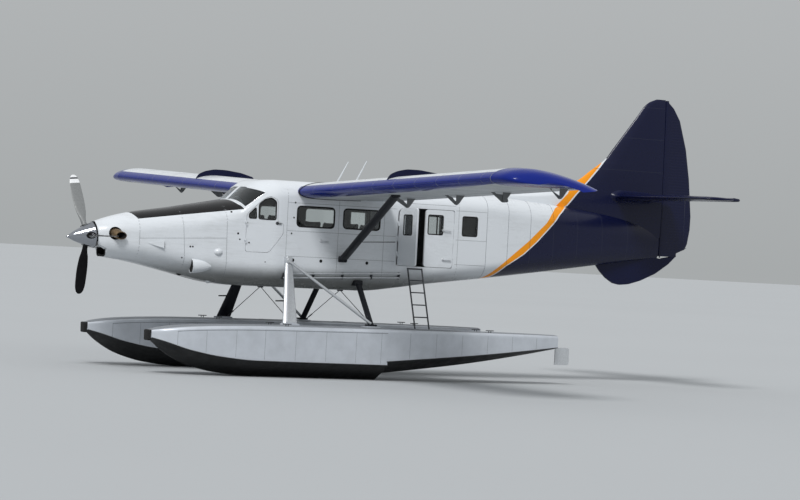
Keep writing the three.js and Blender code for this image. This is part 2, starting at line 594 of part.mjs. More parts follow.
place('elevator_starboard', NAVY, elevator);
place('elevator_port', NAVY, mirror(elevator));

// Aerofoil: a four-digit section. Each point is a fraction of the chord and a side.
const aerofoil = (fraction, side) => {
  const { camber: m, peak: p, thickness: t } = AEROFOIL;
  const x = fraction;
  const mean = x < p ? (m / p ** 2) * (2 * p * x - x * x) : (m / (1 - p) ** 2) * (1 - 2 * p + 2 * p * x - x * x);
  const thick = 5 * t * (0.2969 * Math.sqrt(x) - 0.126 * x - 0.3516 * x * x + 0.2843 * x ** 3 - 0.1036 * x ** 4);
  return mean + side * Math.max(thick, 0.0015);
};
const leadZ = (y) => ROOT_RISE + DIHEDRAL * (y - HALF_WIDTH);
const skinZ = (x, y, side) => leadZ(y) + CHORD * aerofoil(x / CHORD, side) - x * Math.sin(INCIDENCE);
const UPPER = [0, 12, 50, 120, 240, 420, 680, 1000, 1250];
const wingRing = (y, profile) => profile.map(([x, side, lift = 0]) => new THREE.Vector3(x, y, skinZ(x, y, side) + lift));

// Main panel: full section to the rear spar, with the upper skin's lip over the slot.
const panelProfile = [
  ...UPPER.map((x) => [x, 1]), [LIP_X, 1], [LIP_X, 1, -10], [SPAR_X + 30, 1, -24],
  [SPAR_X, -1], ...UPPER.slice(1).reverse().map((x) => [x, -1]),
];
const FENCE_Y = 4240;
const FENCE = [[90, 95], [164, 222], [318, 294], [527, 340], [793, 340], [1150, 300], [1440, 225], [1480, 150],
  [1480, 50], [1000, 150], [400, 170], [120, 60]];
const STRUT_TOP = [600, 3720];
const BRACKETS = [
  // span station, front of the bracket's root, its reach behind the wing at the top, behind the hinge at the foot
  [2500, 1180, 70, 20],
  [4400, 1248, 70, 20],
  [6100, 1240, 60, 115],
  [8050, 1290, 0, 20],
];
const hingeZ = (y) => leadZ(y) - HINGE_DROP;
const HALF_PLATE = 8;
const BRACKET_ROOT = 1345;              // rear end of the brackets' roots, in front of the wing's rear face
const bracket = ([y, front, reach, foot]) => prism(
  [[front, skinZ(front, y, -1) + 15], [BRACKET_ROOT, skinZ(BRACKET_ROOT, y, -1) + 15],
    [BRACKET_ROOT + 1, skinZ(BRACKET_ROOT, y, -1) - 14], [BRACKET_ROOT + 1 + reach, skinZ(BRACKET_ROOT, y, -1) - 30],
    [HINGE_X + foot * 0.6, hingeZ(y) + 10 + foot], [HINGE_X + foot, hingeZ(y) + 8],
    [HINGE_X + foot * 0.8, hingeZ(y) - 12], [HINGE_X, hingeZ(y) - 20], [HINGE_X - 30, hingeZ(y) - 10]],
  y - HALF_PLATE, y + HALF_PLATE,
);
const wingPanel = loft([WING_ROOT_Y, TIP_JOINT_Y - SEAM].map((y) => wingRing(y, panelProfile)), 'y');
const strutFitting = box(STRUT_TOP[0] - 80, STRUT_TOP[0] + 80, STRUT_TOP[1] - 45, STRUT_TOP[1] + 30,
  skinZ(STRUT_TOP[0], STRUT_TOP[1], -1) - 30, skinZ(STRUT_TOP[0], STRUT_TOP[1], -1) + 30);
const wing = join(
  wingPanel.subtract(fuselageGap),
  prism(FENCE.map(([x, z]) => [x, z + leadZ(FENCE_Y)]), FENCE_Y - 6, FENCE_Y + 6),
  strutFitting,
  ...BRACKETS.map(bracket),
);
place('wing_starboard', BLUE, wing);
place('wing_port', BLUE, mirror(wing));

// Wing tip: the whole section, drawn in towards its end and turned down.
const fullProfile = [
  ...UPPER.map((x) => [x, 1]), [1600, 1], [1850, 1], [CHORD, 1], [CHORD, -1], [1700, -1], [1250, -1],
  ...UPPER.slice(1, -1).reverse().map((x) => [x, -1]),
];
const TIP_ROWS = [
  // span station, leading edge, trailing edge, thickness share, droop
  [TIP_JOINT_Y, 0, 1, 1, 0],
  [8500, 0.02, 0.99, 0.92, 12],
  [8700, 0.07, 0.95, 0.7, 40],
  [8800, 0.16, 0.88, 0.42, 72],
  [SPAN_HALF, 0.3, 0.76, 0.12, 100],
];
const tip = loft(TIP_ROWS.map(([y, lead, trail, thick, droop]) => fullProfile.map(([x, side]) => {
  const mid = (skinZ(x, y, 1) + skinZ(x, y, -1)) / 2;
  const z = mid + (skinZ(x, y, side) - mid) * thick - droop;
  return new THREE.Vector3(CHORD * lead + x * (trail - lead), y, z);
})), 'y');
place('wing_tip_starboard', BLUE, tip);
place('wing_tip_port', BLUE, mirror(tip));

// Flaps and ailerons: a round nose under the lip, an arm beside each bracket and a boss on the hinge.
const flapProfile = (y) => [
  [CHORD, skinZ(CHORD, y, 1)], [1660, skinZ(1660, y, 1)], [1560, skinZ(1560, y, 1) - 9],
  [1490, skinZ(1490, y, 1) - 42], [FLAP_NOSE_X, skinZ(1460, y, 1) - 82],
  [1462, skinZ(1462, y, -1) + 22], [1510, skinZ(1510, y, -1) + 2], [1700, skinZ(1700, y, -1)],
  [CHORD, skinZ(CHORD, y, -1)],
];
const flapBody = ([y0, y1]) => loft([y0, y1].map((y) => flapProfile(y)
  .map(([x, z]) => new THREE.Vector3(x, y, z))), 'y');
const ARM_GAP = 6;
const BOSS_GAP = 0.7;                   // the boss tips a little as the surface turns on its slanting hinge
const arm = (y) => join(
  prism([[1500, skinZ(1500, y, -1) + 12], [1690, skinZ(1690, y, -1) + 12],
    [HINGE_X + 44, hingeZ(y) + 6], [HINGE_X, hingeZ(y) - 22], [HINGE_X - 20, hingeZ(y) + 4]],
  y + HALF_PLATE + ARM_GAP, y + HALF_PLATE + ARM_GAP + 12),
  rod([HINGE_X, y + HALF_PLATE + BOSS_GAP, hingeZ(y)], [HINGE_X, y + HALF_PLATE + ARM_GAP + 1, hingeZ(y)], 12),
);
const surface = (range) => join(
  flapBody(range),
  ...BRACKETS.filter(([y]) => y > range[0] && y < range[1]).map(([y]) => arm(y)),
);
const flap = surface(FLAP_Y);
const aileron = surface(AILERON_Y);
place('flap_starboard', WHITE, flap);
place('flap_port', WHITE, mirror(flap));
place('aileron_starboard', WHITE, aileron);
place('aileron_port', WHITE, mirror(aileron));

// Wing struts, from the lower longeron to the front spar.
const STRUT_FOOT = [1030, 868, -1240];
const fitting = box(STRUT_FOOT[0] - 90, STRUT_FOOT[0] + 90, HALF_WIDTH + SEAM, 905, -1300, -1180);
const strutTopZ = skinZ(STRUT_TOP[0], STRUT_TOP[1], -1) - 30 - SEAM;
const wingStrut = join(
  fairedStrut([
    { at: [STRUT_FOOT[0], 895, STRUT_FOOT[2] + 6], chord: 170, thick: 70 },
    { at: [STRUT_TOP[0], STRUT_TOP[1] + 60, strutTopZ + 26], chord: 170, thick: 70 },
  ], 'y').subtract(wing).subtract(box(0, 2000, 3000, 4200, strutTopZ, 1000)),
  fitting,
);
place('wing_strut_starboard', NAVY, wingStrut);
place('wing_strut_port', NAVY, mirror(wingStrut));

// Floats: forebody and afterbody with a step, a flat deck edge, chine and keel. Each section lists
// the deck's crown, deck edge, side, chine and a narrow flat keel.
const KEEL_FLAT = 22;
const PAD_TOP = -2516;                  // strut fittings on the decks
const floatRing = ([x, halfBeam, deck, chine, keel]) => {
  const sides = [[0, deck + 26], [halfBeam * 0.7, deck + 18], [halfBeam * 0.94, deck - 12],
    [halfBeam, deck - 60], [halfBeam * 0.985, chine], [KEEL_FLAT, keel]];
  const far = sides.slice(1).reverse().map(([y, z]) => [-y, z]);
  return [...sides, ...far].map(([y, z]) => new THREE.Vector3(x, FLOAT_Y + y, z));
};
const FOREBODY = [
  // x, half beam, deck, chine, keel
  [-3330, 130, -2748, -2870, -2905],
  [-3120, 290, -2706, -2930, -3080],
  [-2650, 430, -2650, -3070, -3330],
  [-2000, 500, -2612, -3180, -3490],
  [-1300, 520, -2590, -3230, KEEL_Z],
  [STEP_X, 520, -2560, -3240, KEEL_Z],
];
const AFTERBODY = [
  [STEP_X - 20, 516, -2560, -3170, -3440],
  [3500, 420, -2560, -3000, -3190],
  [4900, 290, -2565, -2860, -2960],
  [5560, 190, -2575, -2790, -2835],
];
const RUDDER_POST_X = 5625;
const sternLug = join(
  box(5540, RUDDER_POST_X + 18, FLOAT_Y - 30, FLOAT_Y + 30, -2660, -2640),
  box(5540, 5580, FLOAT_Y - 30, FLOAT_Y + 30, -2700, -2600),
);
const pad = (x) => box(x - 150, x + 150, 1380, 1640, -2600, PAD_TOP);
const hull = join(
  loft(FOREBODY.map(floatRing), 'x'), loft(AFTERBODY.map(floatRing), 'x'), sternLug,
  pad(FRONT_STRUT_X), pad(REAR_STRUT_X),
);
place('float_starboard', ALLOY, hull);
place('float_port', ALLOY, mirror(hull));
const bumper = join(
  box(-3378, -3330 - SEAM, FLOAT_Y - 105, FLOAT_Y + 105, -2888, -2735),
  loft([[-3400, 60, -2760, -2860], [-3370, 110, -2732, -2892]].map(([x, w, z1, z0]) => [
    new THREE.Vector3(x, FLOAT_Y - w, z0), new THREE.Vector3(x, FLOAT_Y + w, z0),
    new THREE.Vector3(x, FLOAT_Y + w, z1), new THREE.Vector3(x, FLOAT_Y - w, z1)]), 'x'),
);
place('float_bumper_starboard', RUBBER, bumper);
place('float_bumper_port', RUBBER, mirror(bumper));

// Water rudders: a post under the stern lug and a plate that trails behind it.
const waterRudder = join(
  rod([RUDDER_POST_X, FLOAT_Y, -3150], [RUDDER_POST_X, FLOAT_Y, -2660 - SEAM], 16),
  box(RUDDER_POST_X, 5950, FLOAT_Y - 6, FLOAT_Y + 6, -3150, -2800),
);
place('water_rudder_starboard', ALLOY, waterRudder);
place('water_rudder_port', ALLOY, mirror(waterRudder));

// Float struts: a broad faired one in front, and behind it a diagonal and a rear strut that meet at
// the rear deck fitting.
const FOOT_Z = PAD_TOP + SEAM;
const FUSELAGE_FITTING = [-170, 872, -1300];
const frontStrut = join(
  fairedStrut([
    { at: [FRONT_STRUT_X, 1500, FOOT_Z], chord: 310, thick: 96 },
    { at: [FUSELAGE_FITTING[0] - 14, 945, -1370], chord: 160, thick: 74 },
  ], 'z'),
  box(-240, -110, HALF_WIDTH + SEAM, 960, -1395, -1240),
  box(FRONT_STRUT_X - 110, FRONT_STRUT_X + 110, 1440, 1560, FOOT_Z, -2490),
).subtract(fuselageGap);
place('float_strut_front_starboard', GREY, frontStrut);
place('float_strut_front_port', GREY, mirror(frontStrut));
const REAR_TOP = [1430, 815, -1690];
const rearTruss = join(
  rod([REAR_STRUT_X, 1500, -2470], [-70, 985, -1330], 30, 10),
  fairedStrut([
    { at: [REAR_STRUT_X + 10, 1500, FOOT_Z], chord: 130, thick: 60 },
    { at: REAR_TOP, chord: 130, thick: 60 },
  ], 'z'),
  box(REAR_TOP[0] - 90, REAR_TOP[0] + 90, 640, 850, -1750, -1640),
  box(REAR_STRUT_X - 110, REAR_STRUT_X + 110, 1440, 1560, FOOT_Z, -2480),
  box(-103, -40, 900, 1000, -1380, -1280),
).subtract(fuselageGap);
place('float_strut_rear_starboard', GREY, rearTruss);
place('float_strut_rear_port', GREY, mirror(rearTruss));

// Spreader bars between the floats, and brace wires from the deck fittings up to the keel.
const SPREADER = { halfSpan: FLOAT_Y - 520 - SEAM, z: -2690 };
for (const [name, x] of [['front', FRONT_STRUT_X], ['rear', REAR_STRUT_X]]) {
  place(`spreader_bar_${name}`, ALLOY, fairedStrut([
    { at: [x, -SPREADER.halfSpan, SPREADER.z], chord: 120, thick: 50 },
    { at: [x, SPREADER.halfSpan, SPREADER.z], chord: 120, thick: 50 },
  ], 'y'));
  const wireTop = [x + 60, 0, -1850 - SEAM];
  place(`brace_wires_${name}`, STEEL, join(
    box(x + 20, x + 100, -60, 60, -1880, wireTop[2]),
    ...[-1, 1].map((side) => rod([x + 60, side * 30, -1872], [x + 60, side * 1435, -2505], 7, 8)),
  ));
}

// Hand and step rails along the lower sides, and the ladder from the port float to the cabin door.
const RAILS = [
  // distance from the middle, front and rear height
  [882, -1578, -1472],
  [852, -1657, -1552],
];
const RAIL_X = [-240, 2330];
const RAIL_POSTS = [-240, 400, 1040, 1680, 2300];
const railHeight = (x, front, rear) => front + (rear - front) * (x - RAIL_X[0]) / (RAIL_X[1] - RAIL_X[0]);
const rails = join(
  ...RAILS.map(([y, front, rear]) => rod([RAIL_X[0], y, front], [RAIL_X[1], y, rear], 15, 8)),
  ...RAIL_POSTS.map((x) => prism([
    [x, railHeight(x, RAILS[1][1], RAILS[1][2]) - 22], [x + 30, railHeight(x, RAILS[1][1], RAILS[1][2]) - 22],
    [x + 30, railHeight(x, RAILS[0][1], RAILS[0][2]) + 22], [x, railHeight(x, RAILS[0][1], RAILS[0][2]) + 22],
  ], 680, RAILS[0][0])),
).subtract(fuselageGap);
place('side_rail_starboard', ALLOY, rails);
place('side_rail_port', ALLOY, mirror(rails));
const LADDER_X = [2480, 2800];
const ladder = join(
  ...LADDER_X.map((x) => rod([x, -900, -1345], [x, -1330 - 6, -2550], 16, 8)),
  ...[0.2, 0.4, 0.6, 0.8].map((t) => rod([LADDER_X[0], -900 - 430 * t, -1345 - 1191 * t],
    [LADDER_X[1], -900 - 430 * t, -1345 - 1191 * t], 12, 8)),
  rod([LADDER_X[0], -905, -1360], [LADDER_X[1], -905, -1360], 14, 8),
);
place('boarding_ladder', ALLOY, ladder.subtract(fuselageGap).subtract(mirror(hull).translate([0, 0, SEAM])));

group.position.set(-MID_X, 0, -KEEL_Z);

export default group;
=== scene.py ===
import math
import bmesh
import bpy
import numpy as np
from mathutils import Matrix


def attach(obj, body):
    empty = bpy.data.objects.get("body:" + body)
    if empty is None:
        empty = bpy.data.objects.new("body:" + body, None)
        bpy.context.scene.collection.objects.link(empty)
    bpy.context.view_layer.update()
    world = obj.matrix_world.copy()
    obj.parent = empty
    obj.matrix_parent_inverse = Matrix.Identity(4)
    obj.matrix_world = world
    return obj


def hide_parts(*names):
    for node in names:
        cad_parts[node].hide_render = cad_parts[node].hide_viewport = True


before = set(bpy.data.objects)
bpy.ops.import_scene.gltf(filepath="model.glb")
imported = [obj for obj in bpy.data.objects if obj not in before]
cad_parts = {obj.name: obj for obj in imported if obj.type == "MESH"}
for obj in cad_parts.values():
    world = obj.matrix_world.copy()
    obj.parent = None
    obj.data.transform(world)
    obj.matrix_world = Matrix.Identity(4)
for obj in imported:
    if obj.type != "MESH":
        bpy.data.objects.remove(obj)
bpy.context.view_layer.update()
scene = bpy.context.scene
print("frame loaded")

# All lengths below are millimetres from the wing root's leading edge: X aft, Y to starboard, Z up.
datum = np.array([-2668.5, 0.0, 3550.0])      # where that point lies in the frame
sides = {"Port": -1, "Starboard": 1}


# Nodes and materials

def linear(code):
    # sRGB hex to linear light: c / 12.92 when dark, else ((c + 0.055) / 1.055) to the power 2.4
    parts = np.array([int(code[i:i + 2], 16) for i in (1, 3, 5)]) / 255
    lit = np.where(parts <= 0.04045, parts / 12.92, ((parts + 0.055) / 1.055) ** 2.4)
    return (*lit.tolist(), 1.0)


def addNode(tree, kind, inputs=None, take=0, **settings):
    # Adds a node with its settings and links, and gives back one of its outputs
    node = tree.nodes.new("ShaderNode" + kind)
    for key, value in settings.items():
        setattr(node, key, value)
    for key, value in (inputs or {}).items():
        if isinstance(value, bpy.types.NodeSocket):
            tree.links.new(value, node.inputs[key])
        else:
            node.inputs[key].default_value = value
    return node.outputs[take]


def startMaterial(name, **sockets):
    # A material with constant values set on its own shader, and its Object coordinates
    material = bpy.data.materials.new(name)
    material.use_nodes = True
    tree = material.node_tree
    shader = tree.nodes["Principled BSDF"]
    for key, value in sockets.items():
        shader.inputs[key.replace("_", " ")].default_value = value
    return material, tree, shader, addNode(tree, "TexCoord", take="Object")


def finishWith(tree, shader, **links):
    for key, value in links.items():
        tree.links.new(value, shader.inputs[key.replace("_", " ")])


# Two-pack polyurethane enamel over riveted sheet: a clear gloss that shows the sheet's slow waves,
# with traffic grime in patches.
enamelFinish = {
    "waves": 2.4, "waveHeight": 0.0015, "patches": 1.1, "streaks": (0.6, 0.6, 5.0), "grime": 0.3,
    "soil": "#a9a69f", "gloss": (0.2, 0.34),
}


def enamel(name, colour, livery=None, gloss=enamelFinish["gloss"], grime=enamelFinish["grime"], coat=0.1,
           shine=0.4):
    material, tree, shader, place = startMaterial(name, Specular_IOR_Level=shine, Coat_Weight=coat,
                                                  Coat_Roughness=0.08)
    base = livery(tree, place) if livery else linear(colour)
    patches = addNode(tree, "TexNoise", {"Vector": place, "Scale": enamelFinish["patches"], "Detail": 5.0,
                                         "Roughness": 0.62})
    stretched = addNode(tree, "Mapping", {"Vector": place, "Scale": enamelFinish["streaks"]})
    streaks = addNode(tree, "TexNoise", {"Vector": stretched, "Scale": 4.0, "Detail": 6.0, "Roughness": 0.7})
    both = addNode(tree, "Math", {0: patches, 1: streaks}, operation="MULTIPLY")
    amount = addNode(tree, "MapRange", {"Value": both, "From Min": 0.25, "From Max": 0.5, "To Max": grime})
    soiled = addNode(tree, "Mix", {0: amount, 6: base, 7: linear(enamelFinish["soil"])}, take=2,
                     data_type="RGBA", blend_type="MULTIPLY")
    rough = addNode(tree, "MapRange", {"Value": patches, "From Min": 0.3, "From Max": 0.7,
                                       "To Min": gloss[0], "To Max": gloss[1]})
    waves = addNode(tree, "TexNoise", {"Vector": place, "Scale": enamelFinish["waves"], "Detail": 1.0})
    bump = addNode(tree, "Bump", {"Height": waves, "Strength": 0.35, "Distance": enamelFinish["waveHeight"]})
    finishWith(tree, shader, Base_Color=soiled, Roughness=rough, Normal=bump)
    return material


paint = {"white": "#d3d7db", "navy": "#0b1030", "blue": "#0b2078", "amber": "#eb920f", "black": "#0d0c0d"}
# The amber stripe's edges: height, front edge and rear edge, metres from the datum. Above the last rows
# the fin's own leading edge is its front, and it tapers out there.
stripe = {
    "edges": [
        (-1.60, 4.27, 4.42), (-1.205, 4.74, 4.875), (-0.945, 5.08, 5.31), (-0.684, 5.43, 5.635),
        (-0.290, 5.88, 6.045), (-0.100, 6.03, 6.225), (0.035, 6.18, 6.42), (0.105, 6.37, 6.60),
        (0.364, 6.635, 6.83), (0.660, 6.80, 7.125), (0.930, 7.10, 7.37), (1.153, 7.40, 7.56),
        (1.50, 7.45, 7.46)],
    "white": 0.036, "low": -1.7, "high": 1.6, "front": 4.0, "rear": 8.0,
}
# Black panel against glare: above a rising line, between two edges that bow with the square of Y
glarePanel = {"rise": 0.1437, "level": -0.2113, "front": -3.234, "frontBow": 0.62, "rear": -1.240,
              "rearBow": 0.31}
# Painted shade and dark reflection on the belly: it starts at the first height and is full at the second
bellyShade = {"unshaded": -1.36, "full": -1.76, "most": 0.8, "colour": "#4d4d45"}


def bodyLivery(tree, place):
    # White nose and cabin with the black panel, then the amber stripe with its white edge, then navy
    aft, y, up = addNode(tree, "SeparateXYZ", {0: place}).node.outputs
    x = addNode(tree, "Math", {0: aft, 1: datum[0] / 1000}, operation="SUBTRACT")
    z = addNode(tree, "Math", {0: up, 1: datum[2] / 1000}, operation="SUBTRACT")
    low, high, front, rear = [stripe[key] for key in ("low", "high", "front", "rear")]
    level = addNode(tree, "MapRange", {"Value": z, "From Min": low, "From Max": high})
    behindEdge = []
    for column, lag in ((1, 0.0), (2, 0.0), (2, stripe["white"])):
        # Whether a point lies behind the stripe's front edge, its rear edge and the white line's
        edge = addNode(tree, "FloatCurve", {"Value": level})
        mapping = edge.node.mapping
        curve = mapping.curves[0].points
        marks = [((row[0] - low) / (high - low), (row[column] + lag - front) / (rear - front))
                 for row in stripe["edges"]]
        curve[0].location, curve[1].location = marks[0], marks[-1]
        for mark in marks[1:-1]:
            curve.new(*mark)
        for point in curve:
            point.handle_type = "VECTOR"
        mapping.update()
        station = addNode(tree, "MapRange", {"Value": edge, "To Min": front, "To Max": rear})
        behindEdge.append(addNode(tree, "Math", {0: x, 1: station}, operation="GREATER_THAN"))
    pastFront, pastRear, navyPart = behindEdge
    amberPart = addNode(tree, "Math", {0: pastFront, 1: pastRear}, operation="SUBTRACT")
    square = addNode(tree, "Math", {0: y, 1: y}, operation="MULTIPLY")
    line = addNode(tree, "Math", {0: x, 1: -glarePanel["rise"], 2: z}, operation="MULTIPLY_ADD")
    blackPart = addNode(tree, "Math", {0: line, 1: glarePanel["level"]}, operation="GREATER_THAN")
    for key, test in (("front", "GREATER_THAN"), ("rear", "LESS_THAN")):
        bowed = addNode(tree, "Math", {0: square, 1: -glarePanel[key + "Bow"], 2: x},
                        operation="MULTIPLY_ADD")
        within = addNode(tree, "Math", {0: bowed, 1: glarePanel[key]}, operation=test)
        blackPart = addNode(tree, "Math", {0: blackPart, 1: within}, operation="MULTIPLY")
    # Painted shade and reflection under the belly: darker towards the bottom
    bellyShadePart = addNode(tree, "MapRange", {"Value": z, "From Min": bellyShade["unshaded"],
                                      "From Max": bellyShade["full"], "To Max": bellyShade["most"]},
                   interpolation_type="SMOOTHSTEP")
    colour, other = linear(paint["white"]), linear(bellyShade["colour"])
    for part, key in ((bellyShadePart, None), (navyPart, "navy"), (amberPart, "amber"), (blackPart, "black")):
        colour = addNode(tree, "Mix", {0: part, 6: colour, 7: linear(paint[key]) if key else other}, take=2,
                         data_type="RGBA")
    return colour


def worn(name, colour, rough, metal=0.0, speckle=0.12, perMetre=40.0, bump=0.2, height=0.0004, **more):
    # A finish whose colour and gloss drift with a fine noise of so many grains to the metre
    material, tree, shader, place = startMaterial(name, Metallic=metal, **more)
    grain = addNode(tree, "TexNoise", {"Vector": place, "Scale": perMetre, "Detail": 4.0, "Roughness": 0.6})
    tone = linear(colour)
    dark = (*[c * (1 - 3 * speckle) for c in tone[:3]], 1.0)
    share = addNode(tree, "MapRange", {"Value": grain, "From Min": 0.35, "From Max": 0.75})
    shade = addNode(tree, "Mix", {0: share, 6: tone, 7: dark}, take=2, data_type="RGBA")
    gloss = addNode(tree, "MapRange", {"Value": grain, "From Min": 0.3, "From Max": 0.7,
                                       "To Min": rough * 0.8, "To Max": min(1.0, rough * 1.25)})
    relief = addNode(tree, "Bump", {"Height": grain, "Strength": bump, "Distance": height})
    finishWith(tree, shader, Base_Color=shade, Roughness=gloss, Normal=relief)
    return material


def clearSheet(name, tint):
    # Stretched acrylic: clear, slightly tinted, with faint polishing swirls
    material, tree, shader, place = startMaterial(name, IOR=1.49, Transmission_Weight=1.0,
                                                  Base_Color=linear(tint))
    swirl = addNode(tree, "TexNoise", {"Vector": place, "Scale": 6.0, "Detail": 6.0, "Roughness": 0.7})
    gloss = addNode(tree, "MapRange", {"Value": swirl, "From Min": 0.3, "From Max": 0.8, "To Min": 0.02,
                                       "To Max": 0.07})
    relief = addNode(tree, "Bump", {"Height": swirl, "Strength": 0.05, "Distance": 0.0003})
    finishWith(tree, shader, Roughness=gloss, Normal=relief)
    return material


# worn: name, colour, roughness, metal, speckle, grains to the metre, bump strength and bump height
finishes = {
    # Sprayed enamel: even colour with soft sky in it, flatter underneath and on brackets, where it weathers
    "body": enamel("enamelBody", paint["white"], livery=bodyLivery, shine=0.28, coat=0.08),
    "white": enamel("enamelWhite", paint["white"]),
    "navy": enamel("enamelNavy", paint["navy"], shine=0.22, coat=0.04),
    "blue": enamel("enamelBlue", paint["blue"], gloss=(0.14, 0.24), grime=0.2, coat=0.04, shine=0.2),
    "fence": enamel("enamelFence", "#0c1130", grime=0.2, coat=0.0, shine=0.2),
    "underside": enamel("enamelUnderside", "#b2b6b9", gloss=(0.4, 0.55), coat=0.0, shine=0.3),
    "bracket": enamel("enamelBracketGrey", "#6a6c6e", gloss=(0.45, 0.6), coat=0.0),
    # Dark strut enamel: the struts' own dark paint, and painted shade on the starboard front float strut
    "strutDarkAndShade": enamel("enamelStrutDarkAndShade", "#0e1119", gloss=(0.35, 0.5), coat=0.02, shine=0.3),
    # Sealant pressed into joints: thin matt lines. Painted rivet heads: rows of small glints
    "seam": worn("panelJointSealant", "#85898c", 0.7, 0.0, 0.1, 40.0),
    "floatSeam": worn("floatJointSealant", "#94999f", 0.7, 0.0, 0.1, 40.0),
    "tailSeam": worn("navyJointSealant", "#20253c", 0.5, 0.0, 0.1, 40.0),
    "rivet": worn("paintedRivet", "#b4b8bb", 0.4, 0.0, 0.1, 30.0),
    # Painted alloy plate: a satin sheen with slow waves. Sanded deck paint: rough, without a glint.
    # Below the chine: matt black and uneven
    "floatSide": worn("floatPaintedAlloy", "#c4c9d0", 0.42, 0.25, 0.05, 3.0, 0.25, 0.002),
    "floatDeck": worn("floatDeckNonSlip", "#8a8e93", 0.75, 0.1, 0.1, 260.0, 0.5, 0.0006),
    "floatBottom": worn("floatBottomBlack", "#0e1012", 0.6, 0.0, 0.15, 5.0, 0.3, 0.002),
    # Drawn aluminium: pale and softly streaked. Weathered steel: dark metal with dull spots
    "alloy": worn("drawnAlloy", "#d4d7da", 0.42, 0.75, 0.05, 30.0, 0.1),
    "steel": worn("weatheredSteel", "#55575a", 0.45, 0.85, 0.15, 50.0, 0.2),
    # Stainless steel tinted by heat: straw brown metal
    "exhaust": worn("heatTintedSteel", "#8a755b", 0.36, 0.9, 0.2, 14.0, 0.3),
    # Black: soot in the exhaust, painted shade in the other openings, and dark marks on the skin
    "sootAndShade": worn("sootAndShadeBlack", "#0e0c0b", 0.9, 0.2, 0.1, 60.0),
    # Polished aluminium: a mirror with slow waves
    "chrome": worn("polishedAlloy", "#a4a7ad", 0.08, 1.0, 0.03, 7.0, 0.15, 0.0006),
    # Blade paint: satin grey in front, black against glare behind, white at the tips
    "bladeFace": worn("bladeGreyPaint", "#7b7d7d", 0.45, 0.0, 0.06, 30.0),
    "bladeBack": worn("bladeBlackPaint", "#0b080d", 0.5, 0.0, 0.1, 30.0, Specular_IOR_Level=0.2),
    "bladeTip": worn("bladeWhitePaint", "#e6e7e8", 0.4, 0.0, 0.04, 30.0),
    # Moulded rubber: matt black with a fine grain
    "rubber": worn("mouldedRubber", "#121213", 0.8, 0.0, 0.15, 70.0, 0.3),
    # Cabin: dull vinyl trim, deep looped carpet, grained leather, flat panel paint, glassy dials
    "trim": worn("cabinTrim", "#6d6f70", 0.8, 0.0, 0.08, 90.0, 0.3),
    "carpet": worn("cabinCarpet", "#2a2c30", 0.95, 0.0, 0.2, 400.0, 0.8, 0.003),
    "leather": worn("seatLeather", "#1d1f23", 0.5, 0.0, 0.1, 160.0, 0.5, 0.0012),
    "panel": worn("instrumentPanelPaint", "#232426", 0.6, 0.0, 0.08, 200.0),
    "dial": worn("instrumentFace", "#0c0c0e", 0.12, 0.0, 0.05, 200.0, 0.1),
    # Stretched acrylic: nearly clear at the sides, a little grey in front
    "glass": clearSheet("acrylicWindow", "#eef2f2"),
    "windshield": clearSheet("acrylicWindshield", "#c9d2d4"),
}
print("materials ready")


# Shapes: a shape is (points, faces)

def unit(vectors):
    return vectors / np.maximum(np.linalg.norm(vectors, axis=-1, keepdims=True), 1e-9)


def roundTurn(count):
    # Angles spaced evenly around a circle
    return np.linspace(0, 2 * math.pi, count, endpoint=False)


def spaced(*spans):
    # Several even runs (start, end, count) as one run of places
    return np.unique(np.concatenate([np.linspace(*span) for span in spans]))


def gridShape(grid, around=True, caps=True):
    # Rows of points joined by quads. A row that runs around joins its ends; a cap closes the first and last.
    rows, cols = grid.shape[:2]
    index = np.arange(rows * cols).reshape(rows, cols)
    wrapped = np.concatenate([index, index[:, :1]], 1) if around else index
    quads = np.stack([wrapped[:-1, :-1], wrapped[:-1, 1:], wrapped[1:, 1:], wrapped[1:, :-1]], -1)
    faces = quads.reshape(-1, 4).tolist()
    if caps:
        faces += [index[0, ::-1].tolist(), index[-1].tolist()]
    return grid.reshape(-1, 3), faces


def gathered(shapes):
    # Several shapes as one list of points and faces
    points, faces, start = [], [], 0
    for each, polygons in shapes:
        points.append(each)
        faces += [[corner + start for corner in polygon] for polygon in polygons]
        start += len(each)
    return np.concatenate(points), faces


def mirrored(shape):
    return shape[0] * (1, -1, 1), shape[1]


def sided(shape, side):
    return shape if side > 0 else mirrored(shape)


def turned(shape, centre, axis, degrees):
    # Each point is turned about the axis through the centre (Rodrigues' formula)
    axis = unit(np.array(axis, float))
    angle = math.radians(degrees)
    away = shape[0] - np.array(centre, float)
    along = np.outer(away @ axis, axis)
    spun = (away - along) * math.cos(angle) + np.cross(axis, away) * math.sin(angle) + along
    return spun + np.array(centre, float), shape[1]


def roundCorners(outline, radius, steps=6):
    # Each corner becomes a quadratic curve that starts and ends a radius away from it
    points = np.array(outline, float)
    toLast, toNext = np.roll(points, 1, 0) - points, np.roll(points, -1, 0) - points
    shorter = np.minimum(np.linalg.norm(toLast, axis=1), np.linalg.norm(toNext, axis=1))
    reach = np.minimum(radius, 0.45 * shorter)[:, None]
    start, end = points + unit(toLast) * reach, points + unit(toNext) * reach
    t = np.linspace(0, 1, steps)[None, :, None]
    curve = (1 - t) ** 2 * start[:, None] + 2 * t * (1 - t) * points[:, None] + t ** 2 * end[:, None]
    return curve.reshape(-1, 2)


def grown(outline, by):
    # The outline moved outwards along the mean of its edges' normals
    points = np.array(outline, float)
    edge = unit(np.roll(points, -1, 0) - np.roll(points, 1, 0))
    area = np.sum(points[:, 0] * np.roll(points[:, 1], -1) - points[:, 1] * np.roll(points[:, 0], -1))
    out = np.stack([edge[:, 1], -edge[:, 0]], 1) * math.copysign(1, area)
    return points + out * by


def rectangle(x0, x1, z0, z1):
    return [(x0, z0), (x1, z0), (x1, z1), (x0, z1)]


